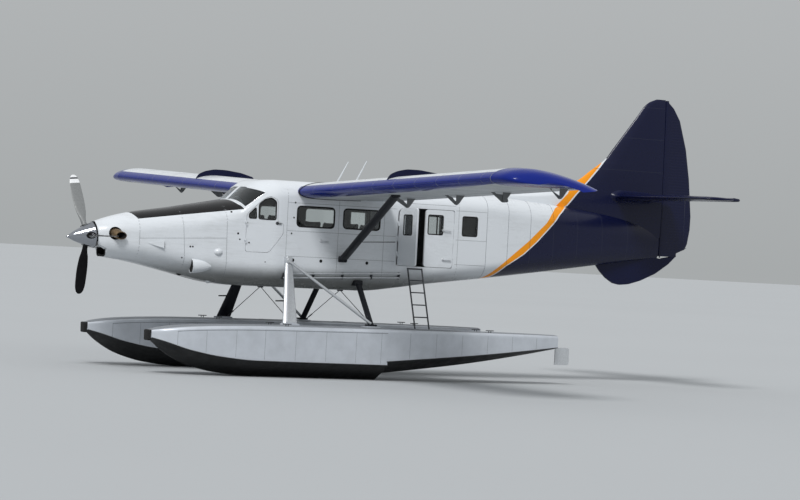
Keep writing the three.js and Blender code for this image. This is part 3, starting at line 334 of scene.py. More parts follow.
def plate(outline, low, high, bevel=0.0, axis="y"):
    # A flat outline carried from low to high across the axis, its rims drawn in by the bevel
    outline = np.array(outline, float)
    rows = [(0, low), (0, high)]
    if bevel:
        rows = [(-bevel, low), (0, low + bevel), (0, high - bevel), (-bevel, high)]
    rings = []
    for by, level in rows:
        ring = grown(outline, by) if by else outline
        depth = np.full(len(ring), level)
        rings.append(np.stack({"y": [ring[:, 0], depth, ring[:, 1]], "z": [ring[:, 0], ring[:, 1], depth],
                               "x": [depth, ring[:, 0], ring[:, 1]]}[axis], 1))
    return gridShape(np.array(rings))


def block(x0, x1, y0, y1, z0, z1, bevel=4.0):
    return plate(roundCorners(rectangle(x0, x1, z0, z1), 3 * bevel, 3), y0, y1, bevel)


def pathFrame(path, closed):
    # The path's points, and the direction along it at each
    path = np.array(path, float)
    return path, unit(np.roll(path, -1, 0) - np.roll(path, 1, 0) if closed else np.gradient(path, axis=0))


def tube(path, radius, count=12, ref=(0, 0, 1), closed=False, tall=1.0):
    # A ring of points carried along a path: across is along x ref, up is across x along
    path, along = pathFrame(path, closed)
    across = unit(np.cross(along, ref))
    up = np.cross(across, along)
    angle = roundTurn(count)[:, None]
    ring = across[:, None] * np.cos(angle) + up[:, None] * np.sin(angle) * tall
    grid = path[:, None] + ring * np.broadcast_to(np.array(radius, float), len(path))[:, None, None]
    if closed:
        grid = np.concatenate([grid, grid[:1]])
    return gridShape(grid, caps=not closed)


def rod(start, end, radius, endRadius=None, count=12):
    # A straight round bar with rounded rims
    start, end = np.array(start, float), np.array(end, float)
    endRadius = radius if endRadius is None else endRadius
    length = np.linalg.norm(end - start)
    rim = min(0.25 * min(radius, endRadius), 0.3 * length)
    stops = np.array([0, rim / length, 1 - rim / length, 1])
    radii = np.array([radius - rim, radius, endRadius, endRadius - rim])
    lean = (1, 0, 0) if abs((end - start)[2]) > 0.7 * length else (0, 0, 1)
    return tube(start + (end - start) * stops[:, None], radii, count, ref=lean)


def ribbon(path, out, profile, closed=False):
    # A small profile (across, out) carried along a path whose outward directions are given
    path, ahead = pathFrame(path, closed)
    out = np.broadcast_to(unit(np.array(out, float)), path.shape)
    across = unit(np.cross(out, ahead))
    profile = np.array(profile, float)
    grid = path[:, None] + across[:, None] * profile[:, :1] + out[:, None] * profile[:, 1:]
    if closed:
        grid = np.concatenate([grid, grid[:1]])
    return gridShape(grid, caps=not closed)


def lowStrip(width, height, deep=1):
    # Profile of a raised line whose top is four fifths of its foot
    half = width / 2
    return [(-half, -deep), (-half * 0.8, height), (half * 0.8, height), (half, -deep)]


def framing(half, flat, deep, edge, top):
    # Profile of a frame: its half width, its top's half width, depth, height at the edge and on top
    return [(-half, -deep), (-half, edge), (-flat, top), (flat, top), (half, edge), (half, -deep)]


def crosswise(out):
    # Two directions square to each given one and to each other
    lean = np.where(np.abs(out[..., 2:]) > 0.7, [1.0, 0, 0], [0, 0, 1.0])
    across = unit(np.cross(out, lean))
    return across, np.cross(out, across)


def studs(points, out, radius, height):
    # Low domes at many points: a ring and a peak each, closed underneath
    count = 6
    points, out = np.array(points, float).reshape(-1, 3), unit(np.array(out, float).reshape(-1, 3))
    across, up = crosswise(out)
    angle = roundTurn(count)[:, None]
    ring = (across[:, None] * np.cos(angle) + up[:, None] * np.sin(angle)) * radius - out[:, None]
    grid = points[:, None] + np.concatenate([ring, out[:, None] * height], 1)
    first = np.arange(len(points))[:, None, None] * (count + 1)
    wedge = np.stack([np.arange(count), (np.arange(count) + 1) % count, np.full(count, count)], 1)
    faces = (first + wedge).reshape(-1, 3).tolist() + (first[:, 0] + np.arange(count)[::-1]).tolist()
    return grid.reshape(-1, 3), faces


def lathe(profile, count):
    # (radius, along X) pairs spun around the X axis; the first and last pair are on the axis
    profile = np.array(profile, float)
    angle = roundTurn(count)
    radius, along = profile[:, :1], profile[:, 1:]
    grid = np.stack([along + 0 * angle, radius * np.cos(angle), radius * np.sin(angle)], -1)
    return gridShape(grid, caps=False)


def shifted(shape, *by):
    return shape[0] + np.array(by, float), shape[1]


def dome(centre, out, radius, rise):
    # Rings about a direction: the radius falls as a cosine while the height grows as a sine
    centre, out = np.array(centre, float), unit(np.array(out, float))
    across, up = crosswise(out)
    climb = np.linspace(0, 0.49 * math.pi, 6)[:, None, None]
    angle = roundTurn(24)[None, :, None]
    flat = (across * np.cos(angle) + up * np.sin(angle)) * radius * np.cos(climb)
    rings = centre + flat + out * (rise * np.sin(climb) + 0 * angle)
    return gridShape(np.concatenate([rings[:1] - out * 3, rings]))


# Pieces

def addObject(name, shape, keys=(), marks=None):
    # Points to frame metres, doubles merged, normals turned outwards; a mark gives a face its finish
    mesh = bpy.data.meshes.new(name)
    mesh.from_pydata(((shape[0] + datum) / 1000).tolist(), [], shape[1])
    for key in keys:
        mesh.materials.append(finishes[key])
    if keys:
        mesh.polygons.foreach_set("material_index", marks.astype(np.int32))
    cleaner = bmesh.new()
    cleaner.from_mesh(mesh)
    bmesh.ops.remove_doubles(cleaner, verts=cleaner.verts, dist=0.00002)
    if not keys:
        bmesh.ops.dissolve_degenerate(cleaner, edges=cleaner.edges, dist=0.00001)
    bmesh.ops.recalc_face_normals(cleaner, faces=cleaner.faces)
    cleaner.to_mesh(mesh)
    cleaner.free()
    piece = bpy.data.objects.new(name, mesh)
    scene.collection.objects.link(piece)
    return piece


def whole(shape):
    return gathered(shape) if isinstance(shape, list) else shape


def makePiece(name, parts, body="airframe", replaced=(), slot="white_paint", sharp=35):
    # parts are (shape or shapes, finish); the finish of a face is that of its part
    shapes = [whole(shape) for shape, _ in parts]
    keys = list(dict.fromkeys(key for _, key in parts))
    marks = [np.full(len(shape[1]), keys.index(key)) for shape, (_, key) in zip(shapes, parts)]
    piece = addObject(name, gathered(shapes), keys, np.concatenate(marks))
    smooth(piece, sharp)
    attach(piece, body)
    if replaced:
        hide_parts(*replaced)
    return piece


def makePair(name, parts, body="airframe", replaced="", **look):
    # The parts as drawn to starboard and mirrored to port; {} in a name stands for the side
    for label, side in sides.items():
        low = label.lower()
        makePiece(name + label, [(sided(whole(shape), side), key) for shape, key in parts],
                  body.format(low), (replaced.format(low),) if replaced else (), **look)


def smooth(piece, sharp):
    piece.data.shade_smooth()
    piece.data.set_sharp_from_angle(angle=math.radians(sharp))


def settle(piece):
    # The modifiers' result becomes the piece's own mesh
    shown = piece.evaluated_get(bpy.context.evaluated_depsgraph_get())
    mesh = bpy.data.meshes.new_from_object(shown)
    piece.modifiers.clear()
    old = piece.data
    piece.data = mesh
    bpy.data.meshes.remove(old)


def carve(piece, shapes, operation="DIFFERENCE"):
    # The piece less the shapes, or only what it shares with them
    cutter = addObject("cutter", whole(shapes))
    step = piece.modifiers.new("carve", "BOOLEAN")
    step.operation = operation
    step.solver = "EXACT"
    step.object = cutter
    settle(piece)
    bpy.data.meshes.remove(cutter.data)
    smooth(piece, 30)


# Body: sections along the fuselage

bodyRows = [
    # station, half width, top, bottom, top corners' breadth and height, bottom corners' breadth and height
    [-3990, 240, -782, -1363, 238, 240, 225, 255],
    [-3920, 270, -755, -1380, 268, 260, 250, 270],
    [-3750, 345, -690, -1420, 343, 300, 320, 320],
    [-3290, 450, -560, -1478, 448, 370, 400, 360],
    [-2350, 575, -395, -1655, 540, 420, 480, 420],
    [-1450, 700, -228, -1825, 600, 430, 480, 440],
    [-1150, 738, -172, -1850, 640, 380, 470, 440],
    [-885, 776, 74, -1850, 600, 420, 460, 440],
    [-650, 808, 208, -1850, 520, 400, 450, 440],
    [-330, 850, 245, -1850, 420, 360, 450, 440],
    [1600, 850, 245, -1850, 400, 340, 450, 440],
    [2500, 850, 230, -1750, 400, 340, 440, 400],
    [3000, 850, 224, -1672, 400, 340, 430, 350],
    [4350, 745, 205, -1505, 380, 330, 400, 330],
    [5900, 540, 125, -1305, 350, 420, 330, 380],
    [7250, 335, 10, -1118, 250, 480, 240, 400],
    [8300, 165, -140, -965, 140, 360, 130, 320],
    [8988, 55, -330, -868, 50, 240, 45, 220],
]
creaseRow = 6                                  # the windshield stands on a crease at this section


def smoothRows(table, at):
    # Monotone cubic through each column: slopes are harmonic means, then Hermite's cubic between rows
    table, at = np.array(table, float), np.asarray(at, float)
    x, y = table[:, 0], table[:, 1:]
    gap = np.diff(x)[:, None]
    slope = np.diff(y, axis=0) / gap
    before, after = slope[:-1], slope[1:]
    same = before * after > 0
    weight = (2 * gap[1:] + gap[:-1]) * after + (gap[1:] + 2 * gap[:-1]) * before
    mean = 3 * (gap[:-1] + gap[1:]) * np.where(same, before * after, 1.0) / np.where(weight == 0, 1, weight)
    tangent = np.concatenate([slope[:1], np.where(same, mean, 0), slope[-1:]])
    row = np.clip(np.searchsorted(x, at, side="right") - 1, 0, len(x) - 2)
    t = np.clip((at - x[row]) / (x[row + 1] - x[row]), 0, 1)[..., None]
    width = (x[row + 1] - x[row])[..., None]
    return ((2 * t ** 3 - 3 * t ** 2 + 1) * y[row] + (t ** 3 - 2 * t ** 2 + t) * width * tangent[row]
            + (3 * t ** 2 - 2 * t ** 3) * y[row + 1] + (t ** 3 - t ** 2) * width * tangent[row + 1])


def bodyAt(x):
    # Section values at each station, with the crease kept
    front, rear = smoothRows(bodyRows[:creaseRow + 1], x), smoothRows(bodyRows[creaseRow:], x)
    values = np.where((np.asarray(x) <= bodyRows[creaseRow][0])[..., None], front, rear)
    return [values[..., k] for k in range(7)]


ringParts = {"flat": 6, "corner": 14, "side": 14}


def ringKeys():
    # Around half a section: (kind, share) for the flat top, top corner, side, bottom corner and flat bottom
    counts = [ringParts[key] for key in ("flat", "corner", "side", "corner", "flat")]
    kind = np.repeat(np.arange(5), counts)
    share = np.concatenate([np.arange(n) / n for n in counts])
    return np.append(kind, 4), np.append(share, 1.0)


def halfRing(x, inset=0.0):
    # Y and Z around half a section: flats are straight and corners are quarter ellipses
    kind, share = ringKeys()
    values = bodyAt(np.asarray(x, float))
    if values[0].ndim == 1:
        values = [value[:, None] for value in values]
    half, top, bottom, topY, topZ, lowY, lowZ = values
    turn = share * math.pi / 2
    y = np.choose(kind, [share * (half - topY), half - topY + (topY - inset) * np.sin(turn),
                         half - inset + 0 * share, half - lowY + (lowY - inset) * np.cos(turn),
                         (1 - share) * (half - lowY)])
    upper, lower = top - topZ, bottom + lowZ
    z = np.choose(kind, [top - inset + 0 * share, upper + (topZ - inset) * np.cos(turn),
                         upper + (lower - upper) * share, lower - (lowZ - inset) * np.sin(turn),
                         bottom + inset + 0 * share])
    return y, z


def wholeRing(x, y, z):
    # The half section and its mirror image, as rows that run right round
    x = np.broadcast_to(np.asarray(x, float)[:, None] if np.ndim(x) == 1 else x, y.shape)
    near = np.stack([x, y, z], -1)
    far = near[:, 1:-1][:, ::-1] * (1, -1, 1)
    return np.concatenate([near, far], 1)


def bodyGrid(stations, inset=0.0):
    y, z = halfRing(stations, inset)
    return wholeRing(stations, y, z)


def skinY(x, z, inset=0.0):
    # Half width at a height: the ellipse's own width where the height is in a corner
    half, top, bottom, topY, topZ, lowY, lowZ = bodyAt(np.asarray(x, float))
    up = np.clip((z - (top - topZ)) / (topZ - inset), 0, 1)
    down = np.clip((bottom + lowZ - z) / (lowZ - inset), 0, 1)
    return (half - inset - (topY - inset) * (1 - np.sqrt(1 - up ** 2))
            - (lowY - inset) * (1 - np.sqrt(1 - down ** 2)))


def skinTop(x):
    return bodyAt(np.asarray(x, float))[1]


def onSkin(x, z, side):
    # Points on the side of the body and the directions out of it
    x, z = np.broadcast_arrays(np.asarray(x, float), np.asarray(z, float))
    step = 4.0
    acrossX = (skinY(x + step, z) - skinY(x - step, z)) / (2 * step)
    acrossZ = (skinY(x, z + step) - skinY(x, z - step)) / (2 * step)
    normal = unit(np.stack([-acrossX, np.ones_like(x), -acrossZ], -1)) * (1, side, 1)
    return np.stack([x, side * skinY(x, z), z], -1), normal


def skinPlate(outline, side, deep, shallow):
    # An outline on the side of the body as a sheet between two depths under the skin
    x, z = np.array(outline, float).T
    rings = [np.stack([x, side * (skinY(x, z) - depth), z], 1) for depth in (deep, shallow)]
    return gridShape(np.array(rings))


def along(points, spacing):
    # Points spaced evenly along a chain of straight steps
    points = np.array(points, float)
    length = np.append(0, np.cumsum(np.linalg.norm(np.diff(points, axis=0), axis=1)))
    at = np.linspace(0, length[-1], max(2, int(length[-1] / spacing) + 1))
    return np.stack([np.interp(at, length, column) for column in points.T], 1)


def skinRibbon(marks, side, width, height):
    # A low strip over the skin along straight marks (x, z)
    track = along(marks, 60.0)
    return ribbon(*onSkin(track[:, 0], track[:, 1], side), lowStrip(width, height))


def skinStuds(marks, side, spacing, radius=5.0):
    track = along(marks, spacing)
    return studs(*onSkin(track[:, 0], track[:, 1], side), radius, 1.6)


def outOf(ring, axis):
    # Directions out of a closed ring that lies square to the axis
    out = unit(np.cross(np.roll(ring, -1, 0) - np.roll(ring, 1, 0), axis))
    return out * np.sign(np.sum(out * (ring - ring.mean(0)), 1))[:, None]


def hoop(x, width, height):
    # A low strip around the body at one station
    ring = bodyGrid([x])[0]
    return ribbon(ring, outOf(ring, (1.0, 0, 0)), lowStrip(width, height), closed=True)


# Camera: the photograph's viewing angle

camera = {"place": (-27.9685, -51.42, 2.49), "yaw": 28.637, "pitch": 0.063, "roll": 3.015,
          "sensor": 36.0, "focalPixels": 2897.5, "width": 800}


def makeCamera():
    # Forward from yaw and pitch, right level with the floor, both then rolled
    yaw, pitch, roll = [math.radians(camera[key]) for key in ("yaw", "pitch", "roll")]
    forward = np.array([math.sin(yaw) * math.cos(pitch), math.cos(yaw) * math.cos(pitch), math.sin(pitch)])
    right = np.array([math.cos(yaw), -math.sin(yaw), 0.0])
    up = np.cross(right, forward)
    across = right * math.cos(roll) + up * math.sin(roll)
    upward = up * math.cos(roll) - right * math.sin(roll)
    holder = bpy.data.objects.new("camera", bpy.data.cameras.new("camera"))
    scene.collection.objects.link(holder)
    matrix = np.eye(4)
    matrix[:3, :4] = np.stack([across, upward, -forward, np.array(camera["place"])], 1)
    holder.matrix_world = Matrix(matrix.tolist())
    holder.data.sensor_width = camera["sensor"]
    holder.data.lens = camera["focalPixels"] * camera["sensor"] / camera["width"]
    holder.data.clip_end = 1000
    scene.camera = holder


makeCamera()
print("camera placed")


# Cabin: a hollow shell with its windows, doors and windshield cut through

cabin = {
    "front": -1450, "rear": 4350, "wall": 40, "floor": -1330, "cut": (480, 1200), "doorGap": 8,
    "doorShape": [(-1040, -1185), (-1040, -460), (-870, -300), (-700, -145), (-560, -88), (-430, -160),
                  (-420, -580), (-295, -610), (-290, -800), (-570, -1180)],
    "quarterPane": [(-990, -530), (-995, -455), (-868, -325), (-850, -530)],
    "mainPane": [(-800, -535), (-803, -255), (-690, -160), (-565, -118), (-465, -186), (-458, -538)],
    "windshield": [(-1160, -178), (-1180, -130), (-905, 125), (-872, 68), (-640, -14), (-1066, -333)],
    "post": 45, "stations": ((-1450, -1150, 7), (-1150, -300, 22), (-300, 4350, 62)),
    "windows": [  # front, rear, bottom, top, corner
        (0, 810, -640, -250, 55), (1020, 1828, -630, -250, 55), (3747, 4102, -640, -264, 22)],
    "starboardPane": (2045, 2400, -640, -264, 22),
}
cabinDoor = {"front": 2246, "split": 2864, "rear": 3530, "top": -157, "bottom": -1305, "open": 84,
             "frontWindow": (2415, 2700, -690, -300, 22), "rearWindow": (2930, 3268, -648, -268, 22),
             "corner": [(0, 128), (16, 66), (64, 21), (134, 4), (184, 0)]}    # back from the front, down
sideDoor = {"front": 2500, "rear": 3270, "window": (2700, 3080, -648, -268, 22)}


def windowOutline(x0, x1, z0, z1, corner, by=0.0):
    return grown(roundCorners(rectangle(x0, x1, z0, z1), corner * 1.5), by)


def freightOutline(front, rear, slot):
    # The freight door's outline, grown by its slot: the upper front corner is cut in steps
    top, bottom = cabinDoor["top"] + slot, cabinDoor["bottom"] - slot
    corner = [(front - slot + back, top - down) for back, down in cabinDoor["corner"]]
    return [(front - slot, bottom), (rear + slot, bottom), (rear + slot, top)] + corner[::-1]


def windowsOf(side):
    return cabin["windows"] + ([cabin["starboardPane"]] if side > 0 else [])


def sideCut(outline, side):
    return sided(plate(outline, *cabin["cut"]), side)


def postCut(outline, side, wider=0):
    # The windshield's half on one side of its centre post
    return sided(plate(outline, cabin["post"] - wider, 1000), side)


def makeCabin():
    stations = spaced(*cabin["stations"])
    outer, inner = bodyGrid(stations), bodyGrid(stations, cabin["wall"])
    ends = [gridShape(np.array([outer[k], inner[k]]), caps=False) for k in (0, -1)]
    outside, lining = gridShape(outer, caps=False), gridShape(inner, caps=False)
    shell = makePiece("cabinSkin", [(outside, "body"), (lining, "trim"), (ends, "body")],
                      replaced=("cabin_side_port", "cabin_side_starboard", "cabin_roof", "cabin_belly"))
    gap, low, high = cabin["doorGap"], cabinDoor["bottom"], cabinDoor["top"]
    cuts = []
    for side in sides.values():
        cuts += [sideCut(windowOutline(*row), side) for row in windowsOf(side)]
        cuts.append(sideCut(roundCorners(grown(cabin["doorShape"], gap), 60), side))
        cuts.append(postCut(roundCorners(cabin["windshield"], 30), side))
    cuts.append(sideCut(roundCorners(freightOutline(cabinDoor["front"], cabinDoor["rear"], gap), 40), -1))
    box = rectangle(sideDoor["front"] - gap, sideDoor["rear"] + gap, low - gap, high + gap)
    cuts.append(sideCut(roundCorners(box, 60), 1))
    carve(shell, cuts)


def frameRibbon(outline, side, width, proud):
    # A rounded strip laid round an opening in the side of the body
    half = width / 2
    profile = framing(half, half * 0.6, 6, proud * 0.5, proud)
    return ribbon(*onSkin(*np.array(outline, float).T, side), profile, closed=True)


def makeWindows():
    for label, side in sides.items():
        seals = [frameRibbon(windowOutline(*row, by=2), side, 30, 5) for row in windowsOf(side)]
        panes = [skinPlate(windowOutline(*row, by=3), side, 22, 15) for row in windowsOf(side)]
        makePiece("cabinWindowSeals" + label, [(seals, "rubber")], slot="rubber")
        makePiece("cabinWindows" + label, [(panes, "glass")], slot="glazing",
                  replaced=("cabin_glass_" + label.lower(),))


def makeWindshield():
    # A sheet that follows the body's own curve, trimmed to the two openings
    stations = np.linspace(-1200, -600, 31)
    outer, inner = bodyGrid(stations, 12), bodyGrid(stations, 20)
    sheet = gridShape(np.concatenate([outer, inner[::-1], outer[:1]]), caps=False)
    glass = makePiece("windshieldGlass", [(sheet, "windshield")], slot="glazing",
                      replaced=("windshield_glass",))
    outline = grown(roundCorners(cabin["windshield"], 30), 3)
    carve(glass, [postCut(outline, side, 3) for side in sides.values()], "INTERSECT")
    # Frames: along the lower front edge, the lower side edge, the rear edge and the centre post
    strips = []
    corners = [cabin["windshield"][k] for k in (0, 5, 4, 3)]
    for side in sides.values():
        for (x0, z0), (x1, z1) in zip(corners, corners[1:]):
            x = np.linspace(x0, x1, 24)
            z = np.minimum(np.linspace(z0, z1, 24), skinTop(x) - 0.5)
            strips.append(ribbon(*onSkin(x, z, side), framing(17, 12, 8, 2, 5)))
    x = np.linspace(-1165, -860, 24)
    top = skinTop(x)
    out = np.stack([-np.gradient(top, x), 0 * x, np.ones_like(x)], 1)
    strips.append(ribbon(np.stack([x, 0 * x, top], 1), out, framing(48, 40, 8, 2, 5)))
    makePiece("windshieldFrames", [(strips, "white")])


makeCabin()
makeWindows()
makeWindshield()


# What shows through the windows and the open door

inside = {
    "face": -1124, "panel": [(-560, -690), (560, -690), (560, -520), (420, -440), (-420, -440), (-560, -520)],
    "dials": [(y, z) for z in (-520, -620) for y in (-470, -370, -270, -170, 170, 270, 370, 470)],
    "radios": (-100, 100, -638, -492), "yokes": (-340, 340), "yokeZ": -640, "browZ": -414,
    "pedestal": (-1150, 110, -600),        # rear, half width, top
}


def crossPlate(x0, x1, inset, low):
    # A wall across the cabin between two stations, as high as the cabin's section above a floor
    rings = bodyGrid([x0, x1], inset)
    rings[..., 2] = np.maximum(rings[..., 2], low)
    return gridShape(rings)


def makeInside():
    wall, floor, front, rear = [cabin[key] for key in ("wall", "floor", "front", "rear")]
    face = inside["face"]
    x = np.linspace(front + 3, rear - 4, 60)
    half = skinY(x, np.full_like(x, floor)) - wall - 0.5
    edge = np.stack([half, -half], 1)
    across = np.stack([np.broadcast_to(x[:, None], edge.shape), edge, np.full(edge.shape, floor)], -1)
    floorSheet = gridShape(np.concatenate([across, across[:, ::-1] - (0, 0, 18)], 1))
    makePiece("cabinFloor", [(floorSheet, "carpet")], slot="grey_paint")
    bulkhead = crossPlate(front + 0.4, front + 32, wall + 0.3, floor + 0.3)
    panel = plate(roundCorners(inside["panel"], 50), front + 30, face, 8, axis="x")
    end, breadth, top = inside["pedestal"]
    pedestal = block(front + 30, end, -breadth, breadth, floor + 0.3, top, 10)
    # The brow over the dials sags with the square of Y
    brow = [(y, inside["browZ"] - 0.00018 * y * y) for y in np.linspace(-560, 560, 20)]
    coaming = plate(brow + [(y, z - 22) for y, z in brow[::-1]], front + 40, face + 70, 6, axis="x")
    rims = [rod((face - 4, y, z), (face + 9, y, z), 42, 38, 24) for y, z in inside["dials"]]
    dials = [rod((face, y, z), (face + 10, y, z), 34, 34, 24) for y, z in inside["dials"]]
    y0, y1, z0, z1 = inside["radios"]
    keys = [block(face - 4, face + 12, y0, y1, z - 19, z + 19, 3) for z in np.linspace(z0, z1, 4)]
    # Control wheels: three quarters of an oval on a column, with a bar across
    grips = []
    turn, z, hub = np.linspace(-0.25 * math.pi, 1.25 * math.pi, 28), inside["yokeZ"], face + 130
    for y in inside["yokes"]:
        wheel = np.stack([0 * turn + hub, y + 120 * np.cos(turn), z - 90 * np.sin(turn)], 1)
        grips += [rod((face - 20, y, z), (hub, y, z), 14, count=14), tube(wheel, 13, 10, ref=(1, 0, 0)),
                  rod((hub, y - 118, z), (hub, y + 118, z), 11)]
    makePiece("firewallAndPanel", [(bulkhead, "trim"), ([panel, pedestal, coaming], "panel"),
                                   (rims + keys + grips, "rubber"), (dials, "dial")],
              replaced=("firewall",), slot="grey_paint")
    makePiece("rearBulkhead", [(crossPlate(rear - 24, rear - 4, wall + 0.5, floor), "trim")],
              slot="grey_paint")


makeInside()


# Seats: foam cushions and backs under leather, on tube frames over two floor rails

seats = {
    "pilots": {"stations": (-700,), "across": (-340, 340), "width": 460, "top": -420,
               "rails": (-660, -350, 100, 20)},
    "cabin": {"stations": (120, 960, 1800), "across": (-430, 430), "width": 640, "top": -500,
              "rails": (160, 2180, 150, 22)},      # front, rear, distance from the seat's middle, half width
    "cushion": (0, 395, -962, -868), "backFoot": -872, "backLean": 70, "thick": 82,
    "voxel": 0.013, "pressure": 4.0, "frames": 20, "mostMove": 0.022, "fill": 0.7,
    # Tubes, from the seat's front: legs, side tubes, bars across, and the back's edges from foot to head
    "legs": (66, 330), "under": (20, 385), "bars": (40, 380), "edges": (380, -940, 448, 60),
    "underZ": -985,
}


def paddedBlank(corners, thick):
    # A slab over four corners, fuller in the middle of each face and drawn in along its rim
    u, v = np.meshgrid(np.linspace(-1, 1, 17), np.linspace(-1, 1, 17), indexing="ij")
    a, b, c, d = np.array(corners, float)
    s, t = (u[..., None] + 1) / 2, (v[..., None] + 1) / 2
    flat = a * (1 - s) * (1 - t) + b * s * (1 - t) + c * s * t + d * (1 - s) * t
    out = unit(np.cross(b - a, d - a))
    rim = (1 - np.abs(u) ** 6) * (1 - np.abs(v) ** 6)
    crown = (thick / 2) * (0.42 + 0.5 * np.sqrt(rim))[..., None]
    upper, lower = flat + out * crown, flat - out * crown
    sheets = [gridShape(upper, around=False, caps=False), gridShape(lower, around=False, caps=False)]
    loop = np.r_[np.arange(17), np.full(15, 16), np.arange(16, -1, -1), np.zeros(15, int)]
    turn = np.r_[np.zeros(17, int), np.arange(1, 16), np.full(17, 16), np.arange(15, 0, -1)]
    band = np.array([upper[loop, turn], lower[loop, turn]])
    return gathered(sheets + [gridShape(band, caps=False)])


def inflate(piece):
    # Voxel remesh, cloth under pressure without gravity, movement capped, then one subdivision
    start = piece.modifiers.new("voxels", "REMESH")
    start.mode = "VOXEL"
    start.voxel_size = seats["voxel"]
    settle(piece)
    before = np.empty(len(piece.data.vertices) * 3)
    piece.data.vertices.foreach_get("co", before)
    cloth = piece.modifiers.new("cloth", "CLOTH")
    cloth.settings.use_pressure = True
    cloth.settings.uniform_pressure_force = seats["pressure"]
    cloth.settings.effector_weights.gravity = 0
    cloth.point_cache.frame_start, cloth.point_cache.frame_end = 1, seats["frames"]
    for step in range(1, seats["frames"] + 1):
        scene.frame_set(step)
    settle(piece)
    scene.frame_set(1)
    after = np.empty_like(before)
    piece.data.vertices.foreach_get("co", after)
    move = (after - before).reshape(-1, 3)
    length = np.linalg.norm(move, axis=1, keepdims=True)
    kept = before.reshape(-1, 3) + move * np.minimum(1, seats["mostMove"] / np.maximum(length, 1e-9))
    piece.data.vertices.foreach_set("co", kept.ravel())
    finer = piece.modifiers.new("finer", "SUBSURF")
    finer.levels = finer.render_levels = 1
    settle(piece)
    smooth(piece, 60)


def copies(first, name, moves):
    # The same pad at its other places, each with a mesh of its own
    coords = np.empty(len(first.data.vertices) * 3)
    first.data.vertices.foreach_get("co", coords)
    for number, move in enumerate(moves):
        piece = bpy.data.objects.new(f"{name}{number + 1}", first.data.copy())
        piece.data.vertices.foreach_set("co", (coords.reshape(-1, 3) + np.array(move) / 1000).ravel())
        scene.collection.objects.link(piece)
        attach(piece, "airframe")


def seatFrame(x, y, width, top):
    # Legs, side tubes and two bars under the cushion, and tubes up the back's edges
    half = width / 2 - 34
    low, high = cabin["floor"] + 25, seats["underZ"]
    start, end = seats["under"]
    foot, footZ, head, less = seats["edges"]
    tubes = []
    for side in (-1, 1):
        leg, edge = y + side * (width / 4 - 16), y + side * half
        tubes += [rod((x + at, leg, low), (x + at, leg, high), 14) for at in seats["legs"]]
        tubes.append(rod((x + start, leg, high), (x + end, leg, high), 13))
        tubes.append(rod((x + foot, edge, footZ), (x + head, edge, top - less), 12))
    bars = [rod((x + at, y - half, high + 10), (x + at, y + half, high + 10), 12) for at in seats["bars"]]
    return tubes + bars


def makeSeats():
    x0, x1, low, high = seats["cushion"]
    middle, foot, thick = (low + high) / 2, seats["backFoot"], seats["thick"]
    tubes, rails, floor = [], [], cabin["floor"]
    for kind in ("pilots", "cabin"):
        row = seats[kind]
        half, top = row["width"] / 2 - 8, row["top"] - 12
        places = [(x, y) for x in row["stations"] for y in row["across"]]
        x, y = places[0]
        front, rear, near, far = x + x0 + 8, x + x1 - 60, y - half, y + half
        hip, head = x + x1 - 20, x + x1 - 20 + seats["backLean"]
        cushion = [(front, near, middle), (rear, near, middle), (rear, far, middle), (front, far, middle)]
        back = [(hip, near, foot), (head, near, top), (head, far, top), (hip, far, foot)]
        moves = [(px - x, py - y, 0) for px, py in places[1:]]
        for name, corners in (("Cushion", cushion), ("Back", back)):
            pad = paddedBlank(corners, thick)
            piece = makePiece(kind + name, [(pad, "leather")], slot="seat_trim", sharp=60)
            inflate(piece)
            copies(piece, kind + name, moves)
        tubes += [part for px, py in places for part in seatFrame(px, py, row["width"], row["top"])]
        start, end, off, wide = row["rails"]
        for y in [across + way * off for across in row["across"] for way in (-1, 1)]:
            rails.append(block(start, end, y - wide, y + wide, floor + 0.3, floor + 28, 5))
    makePiece("seatFrames", [(tubes, "steel"), (rails, "alloy")], replaced=("pilot_seats", "cabin_seats"),
              slot="steel")


makeSeats()
print("cabin ready")


# Doors: blanks as thick as the wall, cut to shape, on their own bodies

def wallBlank(x0, x1, z0, z1, side):
    # A patch of the side wall between two stations and two heights, closed all round
    columns = max(3, int((x1 - x0) / 60))
    x, z = np.meshgrid(np.linspace(x0, x1, columns), np.linspace(z0, z1, 24), indexing="ij")
    outer, inner = [np.stack([x, side * skinY(x, z, depth), z], -1) for depth in (0, cabin["wall"])]
    return gridShape(np.concatenate([outer, inner[:, ::-1]], 1))


def doorLeaf(name, outline, windows, side, node, parts, turn=None):
    # The blank cut to the outline, with glass, seals and the parts that go with it; turn swings it open
    bounds, body = np.array(outline, float), node + "_body"
    (x0, z0), (x1, z1) = bounds.min(0) - 30, bounds.max(0) + 30
    place = (lambda shape: turned(shape, *turn)) if turn else (lambda shape: shape)
    leaf = makePiece(name, [(place(wallBlank(x0, x1, z0, z1, side)), "body")], body, (node,))
    carve(leaf, place(sideCut(roundCorners(outline, 60), side)), "INTERSECT")
    carve(leaf, [place(sideCut(window, side)) for window in windows])
    seals = [place(frameRibbon(grown(window, 2), side, 24, 4)) for window in windows]
    panes = [place(skinPlate(grown(window, 3), side, 22, 15)) for window in windows]
    makePiece(name + "Seals", [(seals, "rubber")], body, slot="rubber")
    makePiece(name + "Glass", [(panes, "glass")], body, slot="glazing")
    makePiece(name + "Fittings", [([place(shape) for shape in shapes], key) for shapes, key in parts], body)


def knuckles(x, y, levels, doorX, wallX):
    # Hinge barrels with a strap each: moving ones at the levels, fixed ones just above
    moving, fixed = [], []
    y0, y1 = sorted((y, y - math.copysign(22, y)))
    for group, lift, toX in ((moving, 0, doorX), (fixed, 50.3, wallX)):
        for z in [level + lift for level in levels]:
            group.append(rod((x, y, z - 25), (x, y, z + 25), 10, count=14))
            group.append(block(min(x, toX), max(x, toX), y0, y1, z - 24, z + 24, 2))
    return moving, fixed


